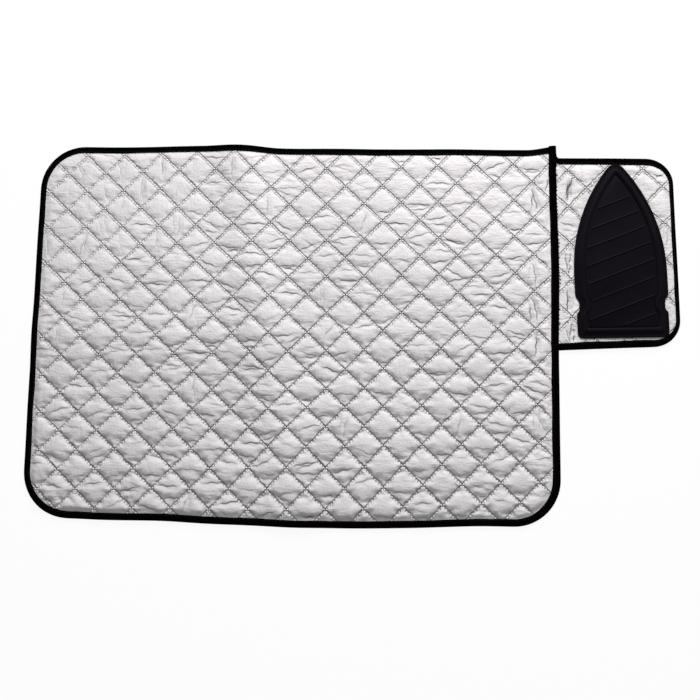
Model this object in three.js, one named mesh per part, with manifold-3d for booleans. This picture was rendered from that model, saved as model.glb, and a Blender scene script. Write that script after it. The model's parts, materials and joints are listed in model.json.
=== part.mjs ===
// Quilted ironing pad with a side flap that carries a moulded silicone iron rest.
// Millimetres, +Z up. The pad lies flat with its underside at z = 0. +X runs along the pad towards
// the flap and +Y towards the far long edge. The origin is under the middle of the whole outline.

import * as THREE from 'three';
import { mergeVertices, toCreasedNormals } from 'three/addons/utils/BufferGeometryUtils.js';
import Module from 'manifold-3d';

// Main pad
const PAD_LENGTH = 700;
const PAD_WIDTH = 500;
const PAD_CORNER_RADIUS = 58;

// Flap beside the pad. It carries the iron rest, so its size follows from the rest and the margins
// round it. It lies a little below the pad's far edge and narrows towards its free end, which leans
// towards the pad at the far corner.
const FLAP_DROP = 11;
const FLAP_TAPER = 8;
const FLAP_LEAN = 4;
const FLAP_FAR_RADIUS = 36;

// Layers of cloth, each measured where it is thinnest
const BACKING_EDGE = 0.4;
const WADDING_AT_STITCH = 0.7;
const COVER_THICKNESS = 0.4;

// Diamond quilting: two sets of straight stitch lines. A crossing of the two is measured from the
// middle of the pad, and on the flap from its seam and its far edge.
const QUILT_PITCH = 35.4;
const QUILT_RISE = 4.2;
const QUILT_EDGE_RUN = 6;
const RISING_STITCH_DEG = 46;
const FALLING_STITCH_DEG = -43.5;
const PAD_CROSSING_X = 18.2;
const PAD_CROSSING_Y = -3;
const FLAP_CROSSING_IN = 16;
const FLAP_CROSSING_DOWN = 117;

// Folded edge tape and the line of stitches along it
const TAPE_WIDTH = 8;
const TAPE_THICKNESS = 0.8;
const TAPE_STITCH_MARGIN = 1.8;
const THREAD_RADIUS = 0.35;

// Iron rest, from heel to tip
const REST_LENGTH = 235;
const REST_WIDTH = 122;
const REST_WAIST_WIDTH = 112;
const REST_HEEL_WIDTH = 119.5;
const REST_HEEL_HEIGHT = 31;
const REST_HEEL_STEP = 8;
const REST_WAIST_LENGTH = 8;
const REST_SHOULDER_STEP = 12;
const REST_SHOULDER_LENGTH = 30;
const REST_TIP_RADIUS = 14;
const REST_HEEL_RADIUS = 7;
const REST_INNER_RADIUS = 2;

// Section of the rest, from its edge inwards: sewing flange, rounded rim, channel, ribbed floor
const FLANGE_WIDTH = 7;
const FLANGE_THICKNESS = 2.5;
const FLANGE_ROUND = 0.6;
const SEWING_GROOVE_INSET = 2.6;
const SEWING_GROOVE_WIDTH = 1.4;
const SEWING_GROOVE_DEPTH = 0.8;
const RIM_WIDTH = 6;
const RIM_HEIGHT = 5.4;
const CHANNEL_WIDTH = 1.5;
const CHANNEL_DEPTH = 0.8;
const FLOOR_THICKNESS = 3.0;
const RIB_BASE_WIDTH = 1.8;
const RIB_TOP_WIDTH = 1.0;
const RIB_HEIGHT = 1.3;
const RIB_SPACING = 24;
const RIB_START = 50.7;
const RIB_END_MARGIN = 2;
const RIB_ANGLE_DEG = 20.4;

// Place of the rest on the flap: its turn, and the cloth left between it and the seam or the tape
const REST_TURN_DEG = 1.6;
const REST_TIP_MARGIN = 1;
const REST_HEEL_MARGIN = 0.6;
const REST_SEAM_MARGIN = 21.2;
const REST_END_MARGIN = 8;
const REST_CORNER_MARGIN = 11;
const REST_POCKET_MARGIN = 1.5;

// Clearances: between neighbouring layers, across a fold line, and between folded halves
const CLEARANCE = 0.3;
const FOLD_GAP = 0.3;
const FOLD_CLEARANCE = 1;

// How far cloth is pressed below its stitch height, under the tape and under the rest
const EDGE_PRESS = 0.1;
const REST_PRESS = 0.2;

// Room left around a solid that only cuts another
const CUT_ROOM = 2;

// Counts of straight pieces that stand for a curve
const CORNER_STEPS = 8;
const HEEL_STEPS = 4;
const WAIST_STEPS = 4;
const SIDE_STEPS = 12;
const TIP_STEPS = 5;
const RIM_STEPS = 6;

// Angle between two faces from which their common edge is shaded as a sharp one
const SHARP_EDGE_DEG = 30;

// Heights of the layers above the table
const BACKING_TOP = TAPE_THICKNESS + CLEARANCE + BACKING_EDGE;
const WADDING_BASE = BACKING_TOP + CLEARANCE;
const COVER_BASE = WADDING_BASE + WADDING_AT_STITCH + CLEARANCE;
const STITCH_HEIGHT = COVER_BASE + COVER_THICKNESS;
const CROWN_HEIGHT = STITCH_HEIGHT + QUILT_RISE;
const TAPE_TOP = STITCH_HEIGHT - EDGE_PRESS + CLEARANCE + TAPE_THICKNESS;
const REST_SEAT = STITCH_HEIGHT - REST_PRESS + CLEARANCE;
const REST_TOP = REST_SEAT + RIM_HEIGHT;

// Insets from a panel's outer edge: where its cloth ends, and where it comes out from the tape
const CLOTH_INSET = TAPE_THICKNESS + CLEARANCE;
const TAPE_MOUTH = TAPE_WIDTH + CLEARANCE;

// Fold lines. Each turns about a line above the cloth, so that what it carries lies clear
// when it is folded over: the flap with its rest first, and then the left half on top.
const CREASE_X = 0;
const SEAM_X = PAD_LENGTH / 2;
const FLAP_FOLD_HEIGHT = (REST_TOP + CROWN_HEIGHT + FOLD_CLEARANCE) / 2;
const CREASE_FOLD_HEIGHT = FLAP_FOLD_HEIGHT + (CROWN_HEIGHT + FOLD_CLEARANCE) / 2;

const wasm = await Module();
wasm.setup();

// Finishes
const silverCloth = { color: 0xc9cacc, roughness: 0.5, metalness: 0.25 };
const fibreWadding = { color: 0xf1f0ec, roughness: 0.95, metalness: 0 };
const backingCloth = { color: 0xd4d4d0, roughness: 0.9, metalness: 0 };
const blackTape = { color: 0x0d0d0e, roughness: 0.85, metalness: 0 };
const blackThread = { color: 0x1a1a1b, roughness: 0.7, metalness: 0 };
const blackSilicone = { color: 0x141415, roughness: 0.5, metalness: 0 };

// Solids from closed geometries

function solidOf(geometry) {
  const bare = geometry.clone();
  bare.deleteAttribute('normal');
  bare.deleteAttribute('uv');
  const merged = mergeVertices(bare);
  return new wasm.Manifold(new wasm.Mesh({
    numProp: 3,
    vertProperties: new Float32Array(merged.getAttribute('position').array),
    triVerts: new Uint32Array(merged.getIndex().array),
  }));
}

function geometryOf(points, triangles) {
  const geometry = new THREE.BufferGeometry();
  geometry.setAttribute('position', new THREE.Float32BufferAttribute(points.flat(), 3));
  geometry.setIndex(triangles.flat());
  return geometry;
}

function meshOf(name, solid, finish) {
  const result = solid.getMesh();
  const geometry = new THREE.BufferGeometry();
  geometry.setAttribute('position', new THREE.BufferAttribute(result.vertProperties, result.numProp));
  geometry.setIndex(new THREE.BufferAttribute(result.triVerts, 1));
  const mesh = new THREE.Mesh(
    toCreasedNormals(geometry, THREE.MathUtils.degToRad(SHARP_EDGE_DEG)),
    new THREE.MeshStandardMaterial(finish),
  );
  mesh.name = name;
  return mesh;
}

// Walls between loops of equal count. Each ring is [inset, z], and its loop runs anticlockwise.
function ringWalls(count, ringCount, closed) {
  const triangles = [];
  const last = closed ? ringCount : ringCount - 1;
  for (let ring = 0; ring < last; ring += 1) {
    const low = ring * count;
    const high = ((ring + 1) % ringCount) * count;
    for (let i = 0; i < count; i += 1) {
      const next = (i + 1) % count;
      triangles.push([low + i, low + next, high + next]);
      triangles.push([low + i, high + next, high + i]);
    }
  }
  return triangles;
}

function ringPoints(outlineAt, rings) {
  return rings.flatMap(([inset, z]) => outlineAt(inset).map((point) => [point.x, point.y, z]));
}

// Closed plate whose edge follows a section: flat at the first ring and at the last one.
function ringStack(outlineAt, rings) {
  const points = ringPoints(outlineAt, rings);
  const count = points.length / rings.length;
  const triangles = ringWalls(count, rings.length, false);
  const top = points.length - count;
  const floorLoop = outlineAt(rings[0][0]);
  const topLoop = outlineAt(rings[rings.length - 1][0]);
  for (const [a, b, c] of THREE.ShapeUtils.triangulateShape(floorLoop, [])) {
    triangles.push([a, c, b]);
  }
  for (const [a, b, c] of THREE.ShapeUtils.triangulateShape(topLoop, [])) {
    triangles.push([top + a, top + b, top + c]);
  }
  return geometryOf(points, triangles);
}

// Closed band that carries a section all the way round an outline.
function ringBand(outlineAt, section) {
  const points = ringPoints(outlineAt, section);
  return geometryOf(points, ringWalls(points.length / section.length, section.length, true));
}

// Outline of a panel with rounded corners, drawn in by an inset along every edge.
function panelOutline(corners, inset) {
  const edges = corners.map((corner, i) => {
    const next = corners[(i + 1) % corners.length];
    const along = new THREE.Vector2(next.x - corner.x, next.y - corner.y).normalize();
    const inward = new THREE.Vector2(-along.y, along.x);
    const start = new THREE.Vector2(corner.x, corner.y).addScaledVector(inward, inset);
    return { start, along, inward };
  });
  return corners.flatMap((corner, i) => {
    const before = edges[(i + corners.length - 1) % corners.length];
    const after = edges[i];
    const gap = after.start.clone().sub(before.start);
    const reach = gap.cross(after.along) / before.along.cross(after.along);
    const tip = before.start.clone().addScaledVector(before.along, reach);
    if (corner.radius === 0) {
      return [tip];
    }
    const radius = corner.radius - inset;
    const turn = Math.acos(before.along.dot(after.along));
    const centre = tip.addScaledVector(before.along, -radius * Math.tan(turn / 2));
    centre.addScaledVector(before.inward, radius);
    const from = before.inward.clone().negate().angle();
    const arc = new THREE.EllipseCurve(centre.x, centre.y, radius, radius, from, from + turn);
    return arc.getPoints(CORNER_STEPS);
  });
}

// Iron rest: outline drawn in by an inset, with the tip at the origin and the heel towards -Y.
const heelTopY = REST_HEEL_HEIGHT - REST_LENGTH;
const waistLowY = heelTopY + REST_HEEL_STEP;
const waistTopY = waistLowY + REST_WAIST_LENGTH;
const shoulderLowY = waistTopY + REST_SHOULDER_STEP;
const shoulderY = shoulderLowY + REST_SHOULDER_LENGTH;
const bowHeight = -shoulderY - REST_TIP_RADIUS;
const bowWidth = REST_WIDTH / 2 - REST_TIP_RADIUS;

// Each side is one arc that leaves the shoulder upright and runs into the rounded tip.
const sideRadius = (bowHeight ** 2 + bowWidth ** 2) / (2 * bowWidth) + REST_TIP_RADIUS;

function sCurve(from, to) {
  const middle = (from.y + to.y) / 2;
  return new THREE.CubicBezierCurve(
    from,
    new THREE.Vector2(from.x, middle),
    new THREE.Vector2(to.x, middle),
    to,
  );
}

function restOutline(inset) {
  const heelX = REST_HEEL_WIDTH / 2 - inset;
  const waistX = REST_WAIST_WIDTH / 2 - inset;
  const shoulderX = REST_WIDTH / 2 - inset;
  const heelRadius = Math.max(REST_HEEL_RADIUS - inset, REST_INNER_RADIUS);
  const tipRadius = Math.max(REST_TIP_RADIUS - inset, REST_INNER_RADIUS);
  const bow = sideRadius - inset;
  const bowX = shoulderX - bow;
  const tipY = shoulderY + Math.sqrt((bow - tipRadius) ** 2 - bowX ** 2);
  const meeting = Math.atan2(tipY - shoulderY, -bowX);
  const heelY = inset - REST_LENGTH + heelRadius;
  const quarter = Math.PI / 2;
  const right = [
    ...new THREE.EllipseCurve(heelX - heelRadius, heelY, heelRadius, heelRadius, -quarter, 0)
      .getPoints(HEEL_STEPS),
    ...sCurve(new THREE.Vector2(heelX, heelTopY), new THREE.Vector2(waistX, waistLowY))
      .getPoints(WAIST_STEPS),
    ...sCurve(new THREE.Vector2(waistX, waistTopY), new THREE.Vector2(shoulderX, shoulderLowY))
      .getPoints(WAIST_STEPS),
    ...new THREE.EllipseCurve(bowX, shoulderY, bow, bow, 0, meeting).getPoints(SIDE_STEPS),
    ...new THREE.EllipseCurve(0, tipY, tipRadius, tipRadius, meeting, quarter)
      .getPoints(TIP_STEPS).slice(1, -1),
  ];
  const tip = new THREE.Vector2(0, tipY + tipRadius);
  const left = right.map((point) => new THREE.Vector2(-point.x, point.y)).reverse();
  return [...right, tip, ...left];
}

// Size and place of the flap, worked out from the box of the turned rest with its tip at (0, 0).
const restTurn = THREE.MathUtils.degToRad(REST_TURN_DEG);
const restBox = new THREE.Box2().setFromPoints(
  restOutline(0).map((point) => point.rotateAround(new THREE.Vector2(), restTurn)),
);
const FLAP_TOP_Y = PAD_WIDTH / 2 - FLAP_DROP;
const REST_TIP_X = SEAM_X + REST_SEAM_MARGIN - restBox.min.x;
const REST_TIP_Y = FLAP_TOP_Y - TAPE_WIDTH - REST_TIP_MARGIN;
const FLAP_END_X = REST_TIP_X + restBox.max.x + REST_END_MARGIN + TAPE_WIDTH;
const FLAP_END_LOW_Y = REST_TIP_Y + restBox.min.y - REST_HEEL_MARGIN - TAPE_WIDTH;
const FLAP_NEAR_RADIUS = REST_HEEL_RADIUS + REST_CORNER_MARGIN + TAPE_WIDTH;

// The two quilted panels. The pad's far corner beside the flap is square, and the flap's seam edge
// is tucked under the pad's tape by the width of the tape.
const halfLength = PAD_LENGTH / 2;
const halfWidth = PAD_WIDTH / 2;
const tuckedX = SEAM_X - TAPE_WIDTH;

const padCorners = [
  { x: -halfLength, y: -halfWidth, radius: PAD_CORNER_RADIUS },
  { x: halfLength, y: -halfWidth, radius: PAD_CORNER_RADIUS },
  { x: halfLength, y: halfWidth, radius: 0 },
  { x: -halfLength, y: halfWidth, radius: PAD_CORNER_RADIUS },
];
const flapCorners = [
  { x: tuckedX, y: FLAP_END_LOW_Y - FLAP_TAPER, radius: 0 },
  { x: FLAP_END_X, y: FLAP_END_LOW_Y, radius: FLAP_NEAR_RADIUS },
  { x: FLAP_END_X - FLAP_LEAN, y: FLAP_TOP_Y, radius: FLAP_FAR_RADIUS },
  { x: tuckedX, y: FLAP_TOP_Y, radius: 0 },
];

const padPanel = {
  outlineAt: (inset) => panelOutline(padCorners, inset),
  crossing: new THREE.Vector2(PAD_CROSSING_X, PAD_CROSSING_Y),
  span: Math.hypot(PAD_LENGTH, PAD_WIDTH) / 2,
};
const flapPanel = {
  outlineAt: (inset) => panelOutline(flapCorners, inset),
  crossing: new THREE.Vector2(SEAM_X + FLAP_CROSSING_IN, FLAP_TOP_Y - FLAP_CROSSING_DOWN),
  span: Math.hypot(FLAP_END_X - tuckedX, FLAP_TOP_Y - FLAP_END_LOW_Y + FLAP_TAPER),
};

// Block with a quilted top: every diamond rises from its four stitch lines to a crown.
function quiltField(panel, level, base) {
  const rising = THREE.MathUtils.degToRad(RISING_STITCH_DEG);
  const falling = THREE.MathUtils.degToRad(FALLING_STITCH_DEG);
  const step = QUILT_PITCH / Math.sin(rising - falling);
  const up = new THREE.Vector2(Math.cos(rising), Math.sin(rising)).multiplyScalar(step);
  const down = new THREE.Vector2(Math.cos(falling), Math.sin(falling)).multiplyScalar(step);
  const reach = Math.ceil((panel.span + panel.crossing.length()) / QUILT_PITCH) + 1;
  const side = 2 * reach + 1;
  const points = [];
  const triangles = [];
  const place = (i, j, z) => {
    const spot = panel.crossing.clone().addScaledVector(up, i).addScaledVector(down, j);
    points.push([spot.x, spot.y, z]);
  };
  for (const z of [level, base]) {
    for (let i = -reach; i <= reach; i += 1) {
      for (let j = -reach; j <= reach; j += 1) {
        place(i, j, z);
      }
    }
  }
  const topAt = (i, j) => i * side + j;
  const baseAt = (i, j) => side * side + topAt(i, j);
  const wall = (a, b) => {
    triangles.push([baseAt(...a), baseAt(...b), topAt(...b)]);
    triangles.push([baseAt(...a), topAt(...b), topAt(...a)]);
  };
  for (let i = 0; i < side - 1; i += 1) {
    for (let j = 0; j < side - 1; j += 1) {
      const crown = points.length;
      place(i - reach + 0.5, j - reach + 0.5, level + QUILT_RISE);
      triangles.push([topAt(i, j), topAt(i, j + 1), crown]);
      triangles.push([topAt(i, j + 1), topAt(i + 1, j + 1), crown]);
      triangles.push([topAt(i + 1, j + 1), topAt(i + 1, j), crown]);
      triangles.push([topAt(i + 1, j), topAt(i, j), crown]);
      triangles.push([baseAt(i, j), baseAt(i + 1, j), baseAt(i + 1, j + 1)]);
      triangles.push([baseAt(i, j), baseAt(i + 1, j + 1), baseAt(i, j + 1)]);
    }
    wall([0, i], [0, i + 1]);
    wall([i, side - 1], [i + 1, side - 1]);
    wall([side - 1, i + 1], [side - 1, i]);
    wall([i + 1, 0], [i, 0]);
  }
  return geometryOf(points, triangles);
}

// Quilted block that lies `drop` below the top of the cover. It is pressed flat under the tape and
// runs up to its crowns beside it. Its edge is at `inset` and its underside at `base`.
function quiltedBlock(panel, drop, inset, base) {
  const level = STITCH_HEIGHT - drop;
  const edge = level - EDGE_PRESS;
  const field = solidOf(quiltField(panel, level, base - CUT_ROOM));
  const bounds = solidOf(ringStack(panel.outlineAt, [
    [inset, base],
    [inset, edge],
    [TAPE_MOUTH, edge],
    [TAPE_MOUTH + QUILT_EDGE_RUN, level + QUILT_RISE + CUT_ROOM],
  ]));
  return field.intersect(bounds);
}

// Where the rest's own frame stands at a given height
function restPlace(z) {
  return new THREE.Matrix4().makeRotationZ(restTurn).setPosition(REST_TIP_X, REST_TIP_Y, z);
}

// Ribs that hold an iron's sole off the floor: a drafted bar, repeated towards the heel.
function restRibs() {
  const profile = new THREE.Shape([
    new THREE.Vector2(-RIB_BASE_WIDTH / 2, 0),
    new THREE.Vector2(RIB_BASE_WIDTH / 2, 0),
    new THREE.Vector2(RIB_TOP_WIDTH / 2, RIB_HEIGHT),
    new THREE.Vector2(-RIB_TOP_WIDTH / 2, RIB_HEIGHT),
  ]);
  const length = 2 * REST_WIDTH;
  const bar = new THREE.ExtrudeGeometry(profile, { depth: length, bevelEnabled: false });
  bar.translate(0, 0, -length / 2);
  bar.rotateX(Math.PI / 2);
  bar.rotateZ(Math.PI / 2 + THREE.MathUtils.degToRad(RIB_ANGLE_DEG));
  const count = Math.floor((REST_LENGTH - RIB_START) / RIB_SPACING) + 1;
  let ribs = null;
  for (let rib = 0; rib < count; rib += 1) {
    const placed = bar.clone();
    placed.translate(0, -RIB_START - rib * RIB_SPACING, FLOOR_THICKNESS);
    const solid = solidOf(placed);
    ribs = ribs ? ribs.add(solid) : solid;
  }
  const inset = FLANGE_WIDTH + RIM_WIDTH + CHANNEL_WIDTH + RIB_END_MARGIN;
  const floorRoom = ringStack(restOutline, [
    [inset, 0],
    [inset, RIM_HEIGHT + CUT_ROOM],
  ]);
  return ribs.intersect(solidOf(floorRoom));
}

function ironRest() {
  const groove = SEWING_GROOVE_INSET;
  const grooveFar = SEWING_GROOVE_INSET + SEWING_GROOVE_WIDTH;
  const grooveFloor = FLANGE_THICKNESS - SEWING_GROOVE_DEPTH;
  const channel = FLANGE_WIDTH + RIM_WIDTH;
  const channelFloor = FLOOR_THICKNESS - CHANNEL_DEPTH;
  const rim = [];
  for (let step = 1; step < RIM_STEPS; step += 1) {
    const angle = Math.PI * step / RIM_STEPS;
    rim.push([
      FLANGE_WIDTH + RIM_WIDTH * (1 - Math.cos(angle)) / 2,
      FLANGE_THICKNESS + (RIM_HEIGHT - FLANGE_THICKNESS) * Math.sin(angle),
    ]);
  }
  const tray = solidOf(ringStack(restOutline, [
    [FLANGE_ROUND, 0],
    [0, FLANGE_ROUND],
    [0, FLANGE_THICKNESS - FLANGE_ROUND],
    [FLANGE_ROUND, FLANGE_THICKNESS],
    [groove, FLANGE_THICKNESS],
    [groove, grooveFloor],
    [grooveFar, grooveFloor],
    [grooveFar, FLANGE_THICKNESS],
    [FLANGE_WIDTH, FLANGE_THICKNESS],
    ...rim,
    [channel, channelFloor],
    [channel + CHANNEL_WIDTH, channelFloor],
    [channel + CHANNEL_WIDTH, FLOOR_THICKNESS],
  ]));
  return tray.add(restRibs());
}

// Thread as a thin closed band, four-sided, lying `CLEARANCE` above what it is sewn to.
function threadSection(inset, seat) {
  const middle = seat + CLEARANCE + THREAD_RADIUS;
  return [
    [inset, middle - THREAD_RADIUS],
    [inset - THREAD_RADIUS, middle],
    [inset, middle + THREAD_RADIUS],
    [inset + THREAD_RADIUS, middle],
  ];
}

function restThread() {
  const inset = SEWING_GROOVE_INSET + SEWING_GROOVE_WIDTH / 2;
  return solidOf(ringBand(restOutline, threadSection(inset, FLANGE_THICKNESS - SEWING_GROOVE_DEPTH)));
}

// Hollow pressed into the flap's quilting by the rest, `drop` below the top of the cover.
function restPocket(drop) {
  const level = STITCH_HEIGHT - drop;
  const floor = level - REST_PRESS;
  const grown = REST_POCKET_MARGIN;
  const pocket = ringStack(restOutline, [
    [-grown, floor],
    [-grown - QUILT_EDGE_RUN, level + QUILT_RISE + CUT_ROOM],
  ]);
  pocket.applyMatrix4(restPlace(0));
  return solidOf(pocket);
}

// Layers of a panel. `press` takes away what the rest flattens, and leaves the pad as it is.
function coverLayer(panel, press) {
  const outer = press(quiltedBlock(panel, 0, CLOTH_INSET, 0), 0);
  const under = press(quiltedBlock(panel, COVER_THICKNESS, -CUT_ROOM, -CUT_ROOM), COVER_THICKNESS);
  return outer.subtract(under);
}

function waddingLayer(panel, press) {
  const drop = COVER_THICKNESS + CLEARANCE;
  return press(quiltedBlock(panel, drop, CLOTH_INSET, WADDING_BASE), drop);
}

function backingLayer(panel) {
  const lip = TAPE_THICKNESS + CLEARANCE;
  return solidOf(ringStack(panel.outlineAt, [
    [TAPE_MOUTH, 0],
    [TAPE_MOUTH, lip],
    [CLOTH_INSET, lip],
    [CLOTH_INSET, BACKING_TOP],
  ]));
}

// Tape folded over the edge: a U section, open inwards, with its fold rounded by one thickness.
function tapeBand(panel) {
  const fold = TAPE_THICKNESS;
  return solidOf(ringBand(panel.outlineAt, [
    [fold, 0],
    [0, fold],
    [0, TAPE_TOP - fold],
    [fold, TAPE_TOP],
    [TAPE_WIDTH, TAPE_TOP],
    [TAPE_WIDTH, TAPE_TOP - TAPE_THICKNESS],
    [TAPE_THICKNESS, TAPE_TOP - TAPE_THICKNESS],
    [TAPE_THICKNESS, TAPE_THICKNESS],
    [TAPE_WIDTH, TAPE_THICKNESS],
    [TAPE_WIDTH, 0],
  ]));
}

function tapeThread(panel) {
  return solidOf(ringBand(panel.outlineAt, threadSection(TAPE_WIDTH - TAPE_STITCH_MARGIN, TAPE_TOP)));
}

// Part of a whole sheet between two lines across the pad.
function between(solid, fromX, toX) {
  const box = new THREE.BoxGeometry(
    toX - fromX,
    PAD_WIDTH + CUT_ROOM,
    2 * (REST_TOP + CUT_ROOM),
  );
  box.translate((fromX + toX) / 2, 0, 0);
  return solid.intersect(solidOf(box));
}

const leftHalf = (solid) => between(solid, -halfLength - CUT_ROOM, CREASE_X - FOLD_GAP / 2);
const rightHalf = (solid) => between(solid, CREASE_X + FOLD_GAP / 2, halfLength + CUT_ROOM);
const beyondSeam = (solid) => between(solid, SEAM_X + FOLD_GAP, FLAP_END_X + CUT_ROOM);

// Group that turns about a fold line, with its meshes left in the pad's own frame.
function foldingGroup(x, height, meshes) {
  const pivot = new THREE.Group();
  pivot.position.set(x, 0, height);
  const content = new THREE.Group();
  content.position.set(-x, 0, -height);
  content.add(...meshes);
  pivot.add(content);
  return pivot;
}

const unpressed = (solid) => solid;
const underRest = (solid, drop) => solid.subtract(restPocket(drop));

const padCover = coverLayer(padPanel, unpressed);
const padWadding = waddingLayer(padPanel, unpressed);
const padBacking = backingLayer(padPanel);
const padTape = tapeBand(padPanel);
const padThread = tapeThread(padPanel);

const rightPanel = new THREE.Group();
rightPanel.add(
  meshOf('cover_right', rightHalf(padCover), silverCloth),
  meshOf('wadding_right', rightHalf(padWadding), fibreWadding),
  meshOf('backing_right', rightHalf(padBacking), backingCloth),
  meshOf('binding_right', rightHalf(padTape), blackTape),
  meshOf('binding_thread_right', rightHalf(padThread), blackThread),
);

const leftPanel = foldingGroup(CREASE_X, CREASE_FOLD_HEIGHT, [
  meshOf('cover_left', leftHalf(padCover), silverCloth),
  meshOf('wadding_left', leftHalf(padWadding), fibreWadding),
  meshOf('backing_left', leftHalf(padBacking), backingCloth),
  meshOf('binding_left', leftHalf(padTape), blackTape),
  meshOf('binding_thread_left', leftHalf(padThread), blackThread),
]);

const rest = new THREE.Group();
rest.applyMatrix4(restPlace(REST_SEAT));
rest.add(
  meshOf('iron_rest', ironRest(), blackSilicone),
  meshOf('rest_thread', restThread(), blackThread),
);

const flap = foldingGroup(SEAM_X, FLAP_FOLD_HEIGHT, [
  meshOf('flap_cover', beyondSeam(coverLayer(flapPanel, underRest)), silverCloth),
  meshOf('flap_wadding', beyondSeam(waddingLayer(flapPanel, underRest)), fibreWadding),
  meshOf('flap_backing', beyondSeam(backingLayer(flapPanel)), backingCloth),
  meshOf('flap_binding', beyondSeam(tapeBand(flapPanel)), blackTape),
  meshOf('flap_binding_thread', beyondSeam(tapeThread(flapPanel)), blackThread),
  rest,
]);

// The origin is put under the middle of the whole outline, from the pad's edge to the flap's.
const flapBox = new THREE.Box2().setFromPoints(flapPanel.outlineAt(0));
const ironingPad = new THREE.Group();
ironingPad.position.x = -(flapBox.max.x - SEAM_X) / 2;
ironingPad.add(rightPanel, leftPanel, flap);

export default ironingPad;
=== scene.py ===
import json
import math

import bmesh
import bpy
import numpy as np
from bpy.props import (
    FloatProperty,
    FloatVectorProperty,
    IntProperty,
    PointerProperty,
)
from mathutils import Matrix, Vector, noise


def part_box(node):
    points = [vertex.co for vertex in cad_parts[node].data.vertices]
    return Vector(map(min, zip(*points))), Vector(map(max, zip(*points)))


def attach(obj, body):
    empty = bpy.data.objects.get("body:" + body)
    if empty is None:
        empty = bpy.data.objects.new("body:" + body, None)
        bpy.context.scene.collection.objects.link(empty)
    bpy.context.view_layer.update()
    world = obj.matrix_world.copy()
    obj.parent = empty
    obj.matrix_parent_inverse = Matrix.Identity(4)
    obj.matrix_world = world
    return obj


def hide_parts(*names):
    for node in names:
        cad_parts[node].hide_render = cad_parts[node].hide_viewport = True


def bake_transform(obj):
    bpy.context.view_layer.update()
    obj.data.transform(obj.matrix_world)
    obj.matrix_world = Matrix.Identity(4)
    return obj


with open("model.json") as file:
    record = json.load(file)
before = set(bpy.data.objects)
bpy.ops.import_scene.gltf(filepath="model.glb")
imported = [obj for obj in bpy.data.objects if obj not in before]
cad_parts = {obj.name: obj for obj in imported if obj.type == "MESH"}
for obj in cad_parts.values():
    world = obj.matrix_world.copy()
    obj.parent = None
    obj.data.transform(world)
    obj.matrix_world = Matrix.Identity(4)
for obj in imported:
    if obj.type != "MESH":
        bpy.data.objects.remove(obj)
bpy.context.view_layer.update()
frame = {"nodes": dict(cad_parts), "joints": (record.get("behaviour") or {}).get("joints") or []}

bl_info = {
    "name": "Quilted ironing pad",
    "version": (1, 0, 0),
    "blender": (4, 5, 0),
    "location": "3D View > Sidebar > Ironing pad",
    "description": "Dresses the solids of a quilted ironing pad with cloth, tape and silicone",
    "category": "Object",
}

# Fold lines and panel edges, read from the frame. Metres, row frame.
JOINTS = {joint["name"]: joint for joint in frame["joints"]}
CREASE_X = JOINTS["centre_fold"]["pos_m"][0]
SEAM_X = JOINTS["flap_fold"]["pos_m"][0]
PAD_LOW = Vector(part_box("binding_left")[0])
PAD_HIGH = Vector(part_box("binding_right")[1])
PAD_MIDDLE = (PAD_LOW + PAD_HIGH) / 2
FLAP_LOW, FLAP_HIGH = (Vector(corner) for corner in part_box("flap_binding"))
TAPE_TOP = PAD_HIGH.z
STITCH_LIFT = 0.0005
STITCH_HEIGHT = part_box("cover_right")[0][2] + STITCH_LIFT
WADDING_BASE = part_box("wadding_right")[0][2]

QUARTER_TURN = math.pi / 2
FULL_TURN = 2 * math.pi

# Camera: the sensor's width in millimetres, and the lens as a share of it.
SENSOR_WIDTH = 36.0
LENS_SHARE = 8 / 7


# Sizes and colours


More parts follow.
